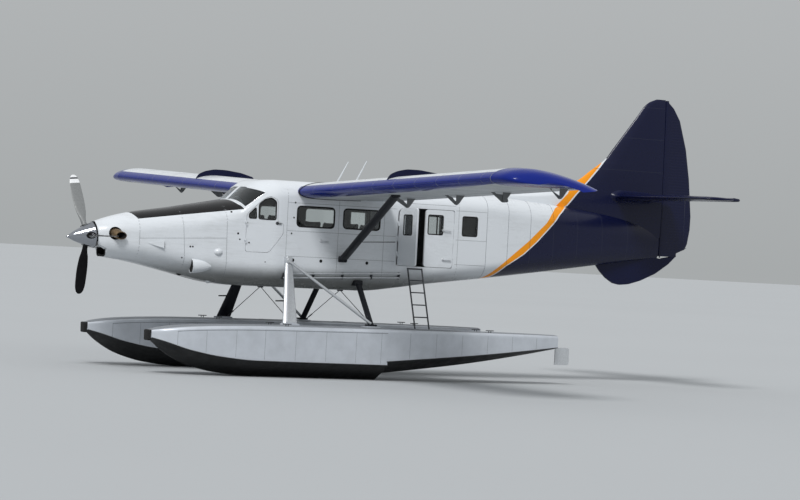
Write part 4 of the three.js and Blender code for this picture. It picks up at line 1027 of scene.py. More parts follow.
doorHinges = {  # station, distance from the middle, heights, where the straps end on the door and on the wall
    "cockpit": (-1043, 771, (-1000, -660), -1015, -1075),
    "frontLeaf": (2243, -861, (-1100, -800, -500), 2276, 2211),
    "rearLeaf": (3533, -822, (-1100, -800, -500), 3500, 3565),
    "side": (2497, 861, (-1100, -800, -500), 2530, 2465),
}


def handle(x, z, side, length, rise=26):
    # A lever on two short posts, over a round escutcheon
    start, out = onSkin(x, z, side)
    end, _ = onSkin(x + length, z - 8, side)
    return [rod(start, start + out * rise, 11), rod(end, end + out * rise, 8),
            rod(start + out * rise - (18, 0, 0), end + out * rise + (14, 0, 0), 9, count=10),
            rod(start - out * 2, start + out * 7, 34, 28, 24)]


def makeDoors():
    for label, side in sides.items():
        x, y, *rest = doorHinges["cockpit"]
        moving, fixed = knuckles(x, side * y, *rest)
        panes = [roundCorners(cabin["quarterPane"], 26), roundCorners(cabin["mainPane"], 40)]
        doorLeaf("cockpitDoor" + label, cabin["doorShape"], panes, side, "cockpit_door_" + label.lower(),
                 [(moving, "white"), (handle(-425, -606, side, 70, 14), "steel")])
        makePiece("cockpitHinges" + label, [(fixed, "white")])
    low, high, split = cabinDoor["bottom"], cabinDoor["top"], cabinDoor["split"]
    pivot = doorHinges["frontLeaf"][:2]
    leaves = [  # name, node, hinge, side, outline, window, handle, turn
        ("Front", "port_front", "frontLeaf", -1, freightOutline(cabinDoor["front"], split - 4, 0),
         cabinDoor["frontWindow"], [], ((*pivot, 0), (0, 0, 1), -cabinDoor["open"])),
        ("Rear", "port_rear", "rearLeaf", -1, rectangle(split + 4, cabinDoor["rear"], low, high),
         cabinDoor["rearWindow"], [(handle(3290, -560, -1, 150), "alloy")], None),
        ("Starboard", "starboard", "side", 1, rectangle(sideDoor["front"], sideDoor["rear"], low, high),
         sideDoor["window"], [(handle(3110, -780, 1, 110), "alloy")], None)]
    for name, node, hinge, side, outline, window, grip, turn in leaves:
        moving, fixed = knuckles(*doorHinges[hinge])
        doorLeaf("cabinDoor" + name, outline, [windowOutline(*window)], side, "cabin_door_" + node,
                 [(moving, "white")] + grip, turn)
        makePiece(f"cabinDoor{name}Hinges", [(fixed, "white")])


makeDoors()


skinDetails = {
    "seam": (7, 0.8), "spacing": 58, "rivetOff": 17,
    "uprights": [(-215, -1700, 60), (912, -1700, 60), (1930, -1700, 60), (3644, -1560, 40)],   # x, low, high
    "levels": [(-205, 2205, -185), (3580, 4340, -150), (-205, 2205, -735), (3590, 4340, -735),
               (-205, 2205, -1230), (3590, 4340, -1230)],                                    # front, rear, z
    "overDoor": (2250, 3560, -60),
    "hoops": (4352, 4890, 5470, 6080, 6720, 7400, 8100),
    "caps": [(-51, -1304), (562, -1296), (1584, -1290)],
    "marks": [(-1202, -842, 22), (-1162, -954, 16), (-1029, -624, 17), (-974, -1009, 17), (-110, -786, 18),
              (-74, -476, 18), (-56, -182, 18), (-630, -1368, 12)],
    "latches": [(539, -905, 150), (3307, -1147, 165)],
    "darkLine": [(1436, -881), (2200, -845)],
    "whips": [((1236, 0, 225), (1499, 0, 712)), ((1640, 0, 225), (1914, 0, 752))],
}


def seamRows(marks, side, off, spacing, radius=5.0):
    # Rows of rivets on both sides of a joint
    (x0, z0), (x1, z1) = marks
    level = abs(x1 - x0) > abs(z1 - z0)
    shifts = [(0, way * off) if level else (way * off, 0) for way in (-1, 1)]
    return [skinStuds([(x + dx, z + dz) for x, z in marks], side, spacing, radius) for dx, dz in shifts]


def makeSkinDetails():
    for label, side in sides.items():
        levels = skinDetails["levels"] + ([skinDetails["overDoor"]] if side < 0 else [])
        tracks = [[(x, low), (x, high)] for x, low, high in skinDetails["uprights"]]
        tracks += [[(x0, z), (x1, z)] for x0, x1, z in levels]
        seams = [skinRibbon(marks, side, *skinDetails["seam"]) for marks in tracks]
        rivets = [row for marks in tracks
                  for row in seamRows(marks, side, skinDetails["rivetOff"], skinDetails["spacing"])]
        makePiece("cabinSeams" + label, [(seams, "seam"), (rivets, "rivet")], sharp=60)
    rings = [hoop(x, *skinDetails["seam"]) for x in skinDetails["hoops"]]
    makePiece("tailHoops", [(rings, "tailSeam")], sharp=60, slot="navy_paint")
    # Dark discs and a dark line on the skin
    dark = [cap(x, z, -1, 33, 5) for x, z in skinDetails["caps"]]
    dark += [cap(x, z, -1, size, 4) for x, z, size in skinDetails["marks"]]
    dark.append(skinRibbon(skinDetails["darkLine"], -1, 15, 4))
    levers = [part for x, z, length in skinDetails["latches"] for part in handle(x, z, -1, length, 20)]
    # Whip aerials, each on a low dome
    whips = [faired(foot, tip, (46, 14), (18, 8), "z") for foot, tip in skinDetails["whips"]]
    whips += [dome((foot[0] - 4, 0, float(skinTop(foot[0])) - 4), (0, 0, 1), 62, 16)
              for foot, _ in skinDetails["whips"]]
    makePiece("bodyFittings", [(dark, "sootAndShade"), (levers, "alloy"), (whips, "white")], sharp=50)
    # The sliding pane's bar and latch in the rear leaf
    x0, x1, z0, z1, _ = cabinDoor["rearWindow"]
    bar = skinPlate(rectangle(x0 + 195, x0 + 217, z0 - 2, z1 + 2), -1, 24, 4)
    makePiece("slidingPaneBar", [([bar, cap(x1 - 40, z0 + 70, -1, 22, 8)], "rubber")],
              "cabin_door_port_rear_body", slot="rubber")


# Nose: a hollow cowl round a tilted thrust line

thrust = {"tilt": 0.11, "tip": (-4464, 0, -1077)}
cowl = {
    "front": 554, "rear": -1450.3, "wall": 24, "lip": 22, "chinFront": -3737, "chinTop": -1225,
    "chinFade": 70,
    "intake": (185, -1388, -1245), "intakeDeep": 210, "intakeRim": 34, "exhaust": (-3610, -966, 124),
    "spinnerHole": 262,
}


def onThrust(shape):
    # Turned by the thrust line's tilt and moved to the spinner's tip
    tip = np.array(thrust["tip"], float)
    return turned((shape[0] + tip, shape[1]), tip, (0, 1, 0), -math.degrees(thrust["tilt"]))


def cowlFront(z):
    # Station of the cowl's front at a height: a plane square to the thrust line, set back below the spinner
    tip, tilt = thrust["tip"], thrust["tilt"]
    plane = tip[0] + cowl["front"] / math.cos(tilt) - (z - tip[2]) * math.tan(tilt)
    t = np.clip((cowl["chinTop"] + 30 - z) / cowl["chinFade"], 0, 1)
    return plane + (np.maximum(cowl["chinFront"], plane) - plane) * (3 * t ** 2 - 2 * t ** 3)


def cowlGrid(inset=0.0, back=0.0, rear=cowl["rear"]):
    # Rings whose stations follow the front's shape and straighten towards the rear, with a closing face
    share = np.linspace(0, 1, 64)[:, None] ** 1.25
    x = np.full((64, len(ringKeys()[0])), -3800.0) + share * 2300
    for _ in range(6):
        y, z = halfRing(np.maximum(x, -3989), inset)
        front = cowlFront(z[:1]) + cowl["lip"] + back
        x = front + share * (rear - front)
    # The lip turns in over a quarter circle, and the face's rings shrink towards a point above the tip
    middle, lip = thrust["tip"][2] + 60, cowl["lip"]
    folds = np.array([0.0, 0.35, 0.7, 1.0]) * math.pi / 2
    rims = [(1 - lip * (1 - math.cos(fold)) / 300, lip * math.sin(fold)) for fold in folds]
    rows = []
    for keep, ahead in (rims + [(keep, lip) for keep in (0.8, 0.6, 0.4, 0.2, 0.02)])[::-1]:
        rz = middle + (z[0] - middle) * keep
        rows.append(np.stack([cowlFront(rz) + lip + back - ahead, y[0] * keep, rz], -1))
    half = np.concatenate([np.array(rows), np.stack([x, y, z], -1)[1:]])
    return wholeRing(half[..., 0], half[..., 1], half[..., 2])


def intakeRing(x):
    # The intake's outline at one station
    wide, low, high = cowl["intake"]
    outline = roundCorners(rectangle(-wide, wide, low, high), 60)
    return np.concatenate([np.full((len(outline), 1), x), outline], 1)


def makeCowl():
    skin = makePiece("cowlSkin", [(gridShape(cowlGrid()), "body")], replaced=("cowl_upper", "cowl_lower"))
    carve(skin, gridShape(cowlGrid(cowl["wall"], cowl["wall"], cowl["rear"] + 60)))
    x, z, radius = cowl["exhaust"]
    angle = roundTurn(48)
    port = np.stack([x + radius * np.cos(angle), z + radius * np.sin(angle)], 1)
    mouth = intakeRing(0)[:, 1:]
    carve(skin, [plate(port, -900, 900), plate(mouth, -3900, -3640, axis="x"),
                 onThrust(rod((500, 0, 0), (640, 0, 0), cowl["spinnerHole"], count=64))])


makeCowl()


engine = {
    "exhaustRows": [  # distance from the middle, station, height, half length, half height
        (150, -3625, -950, 84, 84), (300, -3617, -958, 92, 88), (400, -3600, -968, 97, 90),
        (460, -3578, -984, 102, 84), (520, -3545, -1003, 106, 72)],
    "wall": 9, "depth": 130,
    "core": [  # radius, distance along the thrust line
        (0, 640), (120, 642), (150, 690), (168, 780), (168, 960), (205, 1010), (214, 1060), (214, 1500),
        (226, 1530), (226, 1720), (190, 1760), (176, 2100), (150, 2290), (0, 2296)],
    "flanges": (700, 990, 1040, 1300, 1505, 1740), "case": (-2450, -1450.6, -180, 180, -900, -640, 14),
}


def exhaustGrid(inset):
    rows = engine["exhaustRows"]
    y = np.linspace(rows[0][0], rows[-1][0], 16)
    x, z, halfX, halfZ = smoothRows(rows, y).T[:, :, None]
    angle = roundTurn(40)
    return np.stack([x + (halfX - inset) * np.cos(angle), y[:, None] + 0 * angle,
                     z + (halfZ - inset) * np.sin(angle)], -1)


def ringAt(x, radius, count):
    # A circle round the X axis
    angle = roundTurn(count)
    return np.stack([x + 0 * angle, radius * np.cos(angle), radius * np.sin(angle)], 1)


def makeEngine():
    outer, inner = exhaustGrid(0), exhaustGrid(engine["wall"])
    # The last stretch inside the mouth, closed by a disc: soot, and painted shade further down the pipe
    deep = inner[inner[:, 0, 1] > engine["exhaustRows"][-1][0] - engine["depth"]]
    disc = [list(range(outer.shape[1]))]
    # A turned bead runs round the mouth
    rim = gridShape(np.array([outer[-1], inner[-1]]), caps=False)
    pipe = [gridShape(outer, caps=False), rim, (outer[0], disc),
            tube(outer[-1] - (0, 5, 0), 5, 8, ref=(0, 1, 0), closed=True)]
    makePair("exhaustStack", [(pipe, "exhaust"), ([gridShape(deep, caps=False), (deep[0], disc)], "sootAndShade")],
             slot="steel")
    radii, places = np.array(engine["core"], float).T
    core = [onThrust(lathe(engine["core"], 40))]
    for place in engine["flanges"]:
        ring = ringAt(place, np.interp(place, places, radii) + 6, 40)
        core.append(onThrust(tube(ring, 9, 8, ref=(1, 0, 0), closed=True)))
    makePiece("engineCore", [(core, "steel"), (block(*engine["case"]), "panel")],
              replaced=("engine",), slot="steel")


makeEngine()


nose = {
    "seams": [[(-3145, -1033), (-1424, -945)], [(-3150, -640), (-3150, -1400)],
              [(-2310, -480), (-2229, -1560)], [(-1438, -330), (-1402, -1740)]],
    "scoop": {"front": (-2080, -560, -1512), "rear": (-1690, -596, -1500), "radius": 112, "tall": 1.25},
    "blister": {"front": (-1669, -646, -1222), "rear": (-1480, -660, -1222), "radius": 78},
    "wedge": [(-2983, -1121), (-2667, -1066), (-2667, -1200)], "wedgeRise": 46,
    "marks": [(-2141, -1145, 19), (-2092, -1143, 19), (-2289, -1365, 16), (-1329, -432, 22)],
    "belly": [(-1577, -266, -1797), (-2150, -170, -1672)], "dome": (58, 42),
    "seam": (8, 0.9), "rivets": (20, 62, 5.5),       # width and height; distance off, spacing, radius
}


def cap(x, z, side, radius, rise):
    # A turned disc that stands on the skin
    at, out = onSkin(x, z, side)
    return rod(at - out * 3, at + out * rise, radius, radius * 0.9, 24)


def makeNoseDetails():
    tracks = [(marks, side) for side in sides.values() for marks in nose["seams"]]
    seams = [skinRibbon(marks, side, *nose["seam"]) for marks, side in tracks]
    rivets = [row for marks, side in tracks for row in seamRows(marks, side, *nose["rivets"])]
    makePiece("noseSeams", [(seams, "seam"), (rivets, "rivet")], sharp=60)
    # Scoop: a tube that tapers to the rear, with a mouth dark as painted shade and a rolled rim
    row = nose["scoop"]
    front, rear, radius, tall = [np.array(row[key], float) for key in ("front", "rear", "radius", "tall")]
    share = np.linspace(0, 1, 14)[:, None]
    path = front + (rear - front) * share
    radii = radius * (1 - 0.62 * share[:, 0] ** 2.2)
    shell = tube(path, radii, 40, tall=tall)
    mouth = tube(path[:6] - (6, 0, 0), radii[:6] - 9, 40, tall=tall)
    rim = tube(path[:1] + ringAt(0, radius, 40) * (1, 1, tall), 5, 8, ref=(1, 0, 0), closed=True)
    # Blister: half an ellipsoid; its radius follows the square root of one less the square of its length
    row = nose["blister"]
    front, rear = np.array(row["front"]), np.array(row["rear"])
    u = np.linspace(-0.999, 0.999, 16)[:, None]
    blister = tube((front + rear) / 2 + (rear - front) / 2 * u,
                   np.maximum(row["radius"] * np.sqrt(1 - u[:, 0] ** 2), 1.0), 28)
    base, out = onSkin(*np.array(nose["wedge"], float).T, -1)
    raised = base + out * np.array([2.0, nose["wedgeRise"], nose["wedgeRise"]])[:, None]
    wedge = gridShape(np.array([base - out * 4, raised]))
    opening = np.array([raised[1], raised[2], base[2], base[1]])
    opening += [(1, 0, -8), (1, 0, 8), (1, 0, 8), (1, 0, -8)]
    hole = gridShape(np.array([opening, opening - (4, 0, 0)]))
    belly, outlet = [dome(place, (0, -0.1, -1), *nose["dome"]) for place in nose["belly"]]
    small = [cap(x, z, -1, size, 2.5) for x, z, size in nose["marks"]]
    # The scoop's mouth, the wedge's opening and the outlet dome are dark as painted shade; the small discs
    # are dark marks
    makePiece("noseFairings", [([shell, rim, blister, wedge, belly], "white"),
                               ([mouth, hole, outlet] + small, "sootAndShade")], sharp=50)
    front, wide = cowl["chinFront"] - 1, cowl["intakeRim"]
    lip = ribbon(intakeRing(front), (-1, 0, 0),
                 [(wide, -3), (wide, 3), (wide * 0.7, 7), (0, 7), (-3, 0), (-3, -24)], closed=True)
    # The duct is closed a short way in; its dark is painted shade
    near, far = intakeRing(front + 2), intakeRing(front + cowl["intakeDeep"])
    duct = [gridShape(np.array([near, far]), caps=False), (far, [list(range(len(far)))])]
    makePiece("intake", [(lip, "rubber"), (duct, "sootAndShade")], slot="rubber")


makeNoseDetails()
print("cowl ready")


# Spinner and blades

spinner = {
    "profile": [  # radius, distance behind the tip
        (0, 0), (14, 9), (28, 38), (52, 80), (82, 130), (150, 275), (205, 405), (236, 490), (247, 520),
        (248, 528), (248, 536), (244, 540), (120, 540), (120, 590), (0, 590)],
    "round": 9, "rim": (532, 247.5), "cuff": (432, 66, 92),      # the cuff's station, half width, half length
}
blade = {
    "station": 430, "first": 30, "count": 3, "lean": 46, "root": 215, "tip": 1330,
    "rows": [  # radius, chord, thickness, twist in degrees
        (215, 96, 92, 0), (262, 100, 90, 0), (360, 122, 70, -2), (520, 190, 40, -3), (800, 226, 25, -2),
        (1080, 215, 17, 0), (1250, 164, 13, 1), (1300, 110, 11, 2), (1324, 60, 8, 2), (1330, 20, 5, 2)],
    "bands": (1148, 1236, 1272),                # grey up to the first, then white, a dark gap, and white
}


def smoothProfile(profile):
    # More rows between the given ones, by the monotone cubic
    rows = np.array([(along, radius) for radius, along in profile], float)
    at = spaced(*[(a, b, 6) for a, b in zip(rows[:-1, 0], rows[1:, 0])])
    return [(float(radius), float(place)) for place, radius in zip(at, smoothRows(rows, at)[:, 0])]


def onBlade(shape, number):
    # A shape drawn along Z, turned to one blade's place on the thrust line
    degrees = -(blade["first"] + number * 360 / blade["count"])
    return onThrust(turned(shape, (0, 0, 0), (1, 0, 0), degrees))


def cuffPlate(number, less, low, high, bevel=0.0):
    # An oval around a blade's root, carried along the blade and drawn in by less
    station, wide, tall = spinner["cuff"]
    angle = roundTurn(28)
    oval = np.stack([station + (tall - less) * np.cos(angle), (wide - less) * np.sin(angle)], 1)
    return onBlade(plate(oval, low, high, bevel, axis="z"), number)


def makeSpinner():
    profile = spinner["profile"]
    profile = smoothProfile(profile[:spinner["round"]]) + profile[spinner["round"]:]
    piece = makePiece("spinnerShell", [(onThrust(lathe(profile, 64)), "chrome")], "propeller", ("spinner",),
                      "polished_metal", 40)
    blades = range(blade["count"])
    carve(piece, [cuffPlate(k, 0, 190, 300) for k in blades])
    rim = onThrust(tube(ringAt(*spinner["rim"], 64), 5, 8, ref=(1, 0, 0), closed=True))
    # Dark discs under the cut-outs round the blade roots: painted shade in the holes
    cuffHoleShade = [cuffPlate(k, 2, 150, 202, 2) for k in blades]
    makePiece("spinnerBackplate", [(rim, "steel"), (cuffHoleShade, "sootAndShade")], "propeller", slot="steel")


def bladeShape(number):
    # Sections along the blade: an oval thickness over the chord, thinner towards the rear edge, twisted about
    # the pitch axis
    root, tip = blade["root"], blade["tip"]
    radius = spaced((root, 1300, 46), (1300, tip, 8))
    chord, thick, twist = smoothRows(blade["rows"], radius).T[:, :, None]
    angle = roundTurn(32)
    roundness = np.clip((520 - radius) / 260, 0, 1)[:, None]
    x = np.cos(angle) * chord / 2
    y = np.sin(angle) * thick / 2 * (1 - 0.45 * (1 - roundness) * (x / chord + 0.5))
    spin = np.radians(twist)
    lean = blade["lean"] * ((radius - root) / (tip - root))[:, None] ** 1.5
    grid = np.stack([blade["station"] + lean + x * np.cos(spin) - y * np.sin(spin),
                     x * np.sin(spin) + y * np.cos(spin), radius[:, None] + 0 * x], -1)
    low, dark, high = blade["bands"]
    spans = [("bladeFace", root, low), ("bladeTip", low, dark), ("bladeTip", high, tip + 1),
             ("steel", dark, high)]
    backs, fronts = slice(0, 17), np.r_[16:32, 0]
    parts = []
    for key, start, end in spans:
        rows = np.unique([*radius[(radius > start) & (radius < end)], start, min(end, tip)])
        band = np.array([[np.interp(rows, radius, grid[:, c, axis]) for axis in range(3)]
                         for c in range(32)]).transpose(2, 0, 1)
        for half, finish in ((fronts, key), (backs, "bladeBack")):
            parts.append((onBlade(gridShape(band[:, half], around=False, caps=False), number), finish))
    for row in (grid[:1], grid[-1:]):
        lid = np.concatenate([row, np.broadcast_to(row.mean(1, keepdims=True), row.shape)])
        parts.append((onBlade(gridShape(lid, caps=False), number), "bladeBack"))
    return parts


makeSpinner()
for k in range(blade["count"]):
    makePiece(f"propellerBlade{k + 1}", bladeShape(k), "propeller", (f"propeller_blade_{k + 1}",),
              "blade_paint", 50)
print("propeller ready")


# Tail cone, fin, tailplane, rudder and elevators

tail = {
    "front": 4350.3, "rear": 8988,
    "finRows": [  # height, leading edge, half thickness
        (-700, 7000, 70), (0, 5000, 100), (190, 4440, 104), (240, 4560, 102), (290, 5300, 98),
        (350, 5900, 94), (420, 6250, 91), (520, 6600, 88), (650, 6905, 86), (867, 7205, 84),
        (1153, 7585, 78), (1334, 7723, 74),
        (1810, 8095, 62), (2111, 8328, 52), (2322, 8492, 42), (2415, 8613, 34), (2482, 8780, 24)],
    "finRear": 9000,
    "thickness": [(0, 0), (0.004, 0.17), (0.02, 0.36), (0.05, 0.56), (0.1, 0.76), (0.25, 1), (0.6, 0.95),
                  (1, 0.75)],
    "planeRows": [  # half span, leading edge, half thickness
        (0, 7788, 67), (120, 7800, 66), (1500, 7891, 55), (2970, 7985, 42), (3140, 8130, 34),
        (3215, 8420, 16)],
    "planeRear": 8655, "planeZ": 370,
    "ventral": [(7467, -1040), (7467, -1100), (7560, -1210), (7715, -1350), (7898, -1455), (8070, -1485),
                (8300, -1462), (8597, -1375), (8968, -1210), (9286, -995), (9466, -822), (9472, -808),
                (9105, -872), (9090, -884), (9000, -884), (8900, -820), (7800, -950)],
    "rudder": [(8990, -842), (9476, -757), (9690, -665), (9746, -543), (9796, -241), (9801, 44), (9711, 825),
               (9593, 1459), (9400, 2066), (9230, 2310), (9090, 2430), (8995, 2470)],
    "rudderHinge": 9060, "rudderNose": 48, "rudderTail": 9801, "rudderEdge": 7,
    "elevator": [(8720, 132), (9170, 132), (8985, 2880), (8900, 3060), (8720, 3120)],
    "elevatorHinge": 8720, "elevatorNose": 40, "elevatorTail": 9200, "elevatorEdge": 5,
    "finStops": ((-450, 190, 8), (190, 290, 24), (290, 650, 30), (650, 2322, 46), (2322, 2482, 14)),
    "planeStops": ((0, 2970, 34), (2970, 3215, 16)), "ventralHalf": 26,
    "ribSpacing": 60, "ribHeight": 3.2, "fairing": (60, 190, 95),       # from the middle, reach, swelling
}


def aeroGrid(level, leading, half, rear, swap=False):
    # Rings of a symmetric section: half thickness over the chord from a table, one ring at each level
    share = np.unique(np.append(np.linspace(0, 1, 20) ** 2 * 0.5, np.linspace(0.3, 1, 12)))
    x = leading[:, None] + share * (rear - leading)[:, None]
    off = half[:, None] * smoothRows(tail["thickness"], share)[:, 0]
    x = np.concatenate([x, x[:, :0:-1]], 1)
    off = np.concatenate([off, -off[:, :0:-1]], 1)
    flat = np.broadcast_to(level[:, None], x.shape)
    return np.stack([x, flat, off] if swap else [x, off, flat], -1)


def finGrid(level):
    lead, half = smoothRows(tail["finRows"], level).T
    return aeroGrid(level, lead, half, tail["finRear"])


def planeGrid(out, grow=0.0, back=0.0):
    # Half the tailplane, or a shell around it that stands off by grow
    lead, half = smoothRows(tail["planeRows"], out).T
    rear = tail["planeRear"] + back
    return aeroGrid(out, lead - grow * 1.6, half + grow, rear, swap=True) + (0, 0, tail["planeZ"])


def makeTail():
    stations = spaced((tail["front"], 8700, 76), (8700, tail["rear"], 8))
    makePiece("tailCone", [(gridShape(bodyGrid(stations)), "body")], replaced=("tail_cone",),
              slot="navy_paint")
    fin = finGrid(spaced(*tail["finStops"]))
    makePiece("finSkin", [(gridShape(fin), "body")], replaced=("fin",), slot="navy_paint", sharp=40)
    half = planeGrid(spaced(*tail["planeStops"]))
    plane = gridShape(np.concatenate([half[:0:-1] * (1, -1, 1), half]))
    makePiece("tailplaneSkin", [(plane, "navy")], replaced=("tailplane",), slot="navy_paint", sharp=40)
    # Fairing where the tailplane meets the fin: a swelling that fades along the span
    start, reach, swelling = tail["fairing"]
    share = np.linspace(0, 1, 12)
    fairing = gridShape(planeGrid(start + reach * share, swelling * (1 - share) ** 2.2 + 0.5, 2))
    makePiece("tailplaneFairings", [([fairing, mirrored(fairing)], "navy")], slot="navy_paint", sharp=50)
    wide = tail["ventralHalf"]
    makePiece("ventralFin", [(plate(roundCorners(tail["ventral"], 40), -wide, wide, 9), "navy")],
              replaced=("ventral_fin",), slot="navy_paint", sharp=40)


def ribWave(place, spacing, height):
    # Narrow raised beads at even spacing: the cosine's peaks, sharpened
    return height * np.maximum(0, np.cos(2 * math.pi * place / spacing)) ** 6


def bladedSurface(kind, levels, swap=False, z=0.0):
    # A wedge with a round nose: at each level its rear edge comes from the outline, with beads across it
    nose, radius, end, edge = [tail[kind + key] for key in ("Hinge", "Nose", "Tail", "Edge")]
    points = np.array(tail[kind], float)
    points = points[points[:, 0] >= nose]
    points = points[np.argsort(points[:, 1])]
    rear = np.interp(levels, points[:, 1], points[:, 0])[:, None]
    x = nose + np.linspace(0, 1, 22) * (rear - nose)
    close = np.clip((rear - x) / 25, 0, 1) ** 0.5
    fade = np.clip((x - nose - 60) / 60, 0, 1) * np.clip((rear - x - 30) / 40, 0, 1)
    bead = ribWave(levels, tail["ribSpacing"], tail["ribHeight"])[:, None] * fade
    off = (radius + (edge - radius) * (x - nose) / (end - nose)) * (0.25 + 0.75 * close) + bead
    arc = np.linspace(math.pi / 2, 3 * math.pi / 2, 12)[1:-1]
    ringX = np.concatenate([x[:, ::-1], nose + radius * np.cos(arc) + 0 * rear, x], 1)
    ringOff = np.concatenate([off[:, ::-1], radius * np.sin(arc) + 0 * rear, -off], 1)
    flat = np.broadcast_to(levels[:, None], ringX.shape)
    return np.stack([ringX, flat, z + ringOff] if swap else [ringX, ringOff, flat], -1)


def makeRudder():
    surface = gridShape(bladedSurface("rudder", np.append(np.arange(-836, 2468, 7.5), 2468)))
    pin = rod((tail["rudderHinge"], 0, -866), (tail["rudderHinge"], 0, -780), 14)
    makePiece("rudderSkin", [(surface, "body"), (pin, "navy")], "rudder_body", ("rudder",), "navy_paint", 50)


def makeElevators():
    surface = gridShape(bladedSurface("elevator", np.arange(132, 3120, 7.5), True, tail["planeZ"]))
    makePair("elevator", [(surface, "navy")], "elevators", "elevator_{}", slot="navy_paint", sharp=50)


makeTail()
makeRudder()
makeElevators()
print("tail ready")


# Wings: a four-digit section at each span station, risen by the dihedral

wing = {
    "camber": 0.04, "peak": 0.4, "thick": 0.165, "chord": 1980, "rise": 30, "root": 850,
    "dihedral": math.tan(math.radians(2.25)), "incidence": math.sin(math.radians(2.5)),
    "inner": 560, "tipJoint": 8200, "lip": 1500, "spar": 1360, "blueTop": 120,
    "blueLow": [(1200, 300), (2300, 320), (5700, 290), (8200, 120)],
    "flap": (875, 5030), "aileron": (5060, 8170), "hinge": 1520, "drop": 260,
    "tipRows": [  # span station, leading edge, trailing edge, thickness share, droop
        (8200, 0, 1, 1, 0), (8500, 0.02, 0.99, 0.92, 12), (8700, 0.07, 0.95, 0.7, 40),
        (8800, 0.16, 0.88, 0.42, 72), (8845, 0.3, 0.76, 0.12, 100)],
    "fenceY": 4240,
    "fence": [(90, 95), (164, 222), (318, 294), (527, 340), (793, 340), (1150, 300), (1440, 225), (1480, 150),
              (1480, 50), (1000, 150), (400, 170), (120, 60)],
    # Section of the flap and the aileron: stations on top, then stations and lifts round the nose and below
    "flapTop": (1980, 1900, 1820, 1740, 1660),
    "flapNose": [(1610, -3), (1560, -9), (1520, -24), (1490, -42), (1465, -62), (1452, -82)],
    "flapLow": [(1455, 40), (1462, 22), (1482, 9), (1510, 2), (1600, 0), (1700, 0), (1820, 0), (1980, 0)],
    "bracketRoot": 1345,
    "brackets": [  # span station, front, reach behind the wing at the top, behind the hinge at the foot
        (2500, 1180, 70, 20), (4400, 1248, 70, 20), (6100, 1240, 60, 115), (8050, 1290, 0, 20)],
    "strutTop": (600, 3720),
}


def leadZ(y):
    return wing["rise"] + wing["dihedral"] * (y - wing["root"])


def foil(share, side):
    # Four-digit camber line and thickness, as shares of the chord
    m, p = wing["camber"], wing["peak"]
    mean = np.where(share < p, m / p ** 2 * (2 * p * share - share ** 2),
                    m / (1 - p) ** 2 * (1 - 2 * p + 2 * p * share - share ** 2))
    thick = 5 * wing["thick"] * (0.2969 * np.sqrt(share) - 0.126 * share - 0.3516 * share ** 2
                                 + 0.2843 * share ** 3 - 0.1036 * share ** 4)
    return mean + side * np.maximum(thick, 0.0008)


def wingZ(x, y, side):
    return leadZ(y) + wing["chord"] * foil(np.asarray(x, float) / wing["chord"], side) - x * wing["incidence"]


def wingStrip(marks, spans):
    # Points (x, side, lift) at each span station, as an open grid
    x, side, lift = np.array(marks, float).T
    return skinStrip(x[None], side[None], spans, lift[None])


def skinStrip(x, side, spans, lift=0.0):
    # The same from stations that may differ from one span station to the next
    spans = np.asarray(spans, float)[:, None]
    z = wingZ(x, spans, side) + lift
    return gridShape(np.stack([x + 0 * spans, spans + 0 * z, z], -1), around=False, caps=False)


def chordwise(start, end, side, count=14):
    # Stations along one skin, closer towards the leading edge
    share = np.linspace(0, 1, count)
    return [(start + (end - start) * s ** 1.7, side, 0) for s in share]


def endFaces(ring, spans):
    # Flat faces that close a ring of wing points at the first and the last span station
    x, side, lift = np.array(ring, float).T
    ends = [np.stack([x, y + 0 * x, wingZ(x, y, side) + lift], 1) for y in (spans[0], spans[-1])]
    return np.concatenate(ends), [list(range(len(ring))), list(range(len(ring), 2 * len(ring)))]


def makeWings():
    spans = np.linspace(wing["inner"], wing["tipJoint"], 70)
    blue, lip, spar = wing["blueTop"], wing["lip"], wing["spar"]
    top = chordwise(blue, lip, 1, 18)
    # The blue band on the nose reaches further back underneath at the root
    band = np.interp(spans, *np.array(wing["blueLow"], float).T)[:, None]
    upper = skinStrip(blue * np.linspace(1, 0, 10)[None] ** 2, 1, spans)
    under = skinStrip(band * np.linspace(0, 1, 12)[None] ** 2, -1, spans)
    low = skinStrip(band + (spar - band) * np.linspace(0, 1, 16)[None] ** 1.7, -1, spans)
    rear = [(lip, 1, 0), (lip, 1, -9), (1390, 1, -24), (spar, -1, 0)]
    nose = [(blue * s ** 2, 1, 0) for s in np.linspace(1, 0, 10)]
    ring = top[::-1] + nose[1:] + chordwise(0, spar, -1, 24)[1:] + rear[2:0:-1]
    makePair("wingPanel", [(wingStrip(top, spans), "white"), ([upper, under], "blue"),
                           ([low, wingStrip(rear, spans), endFaces(ring, spans)], "underside")],
             replaced="wing_{}", slot="blue_paint")
    y = wing["fenceY"]
    fence = plate(roundCorners([(x, z + leadZ(y)) for x, z in wing["fence"]], 60), y - 6, y + 6, 2)
    makePair("wingFence", [(fence, "fence")], slot="blue_paint")
    makePair("flapHangers", [([hanger(*row) for row in wing["brackets"]], "bracket")], slot="grey_paint")
    x, y = wing["strutTop"]
    z = float(wingZ(x, y, -1))
    makePair("strutFittingTop", [(block(x - 80, x + 80, y - 45, y + 30, z - 30, z + 30, 8), "strutDarkAndShade")],
             slot="navy_paint")


def hanger(y, front, reach, foot):
    # A plate under the wing that carries a hinge at its tip, with a flange along its leaning edges
    low, pin, root = leadZ(y) - wing["drop"], wing["hinge"], wing["bracketRoot"]
    skin = float(wingZ(root, y, -1))
    outline = [(front, float(wingZ(front, y, -1)) + 15), (root, skin + 15), (root + 1, skin - 14),
               (root + 1 + reach, skin - 30), (pin + foot * 0.6, low + 10 + foot), (pin + foot, low + 8),
               (pin + foot * 0.8, low - 12), (pin, low - 20), (pin - 30, low - 10)]
    return plate(roundCorners(outline, 12, 4), y - 8, y + 8, 2)


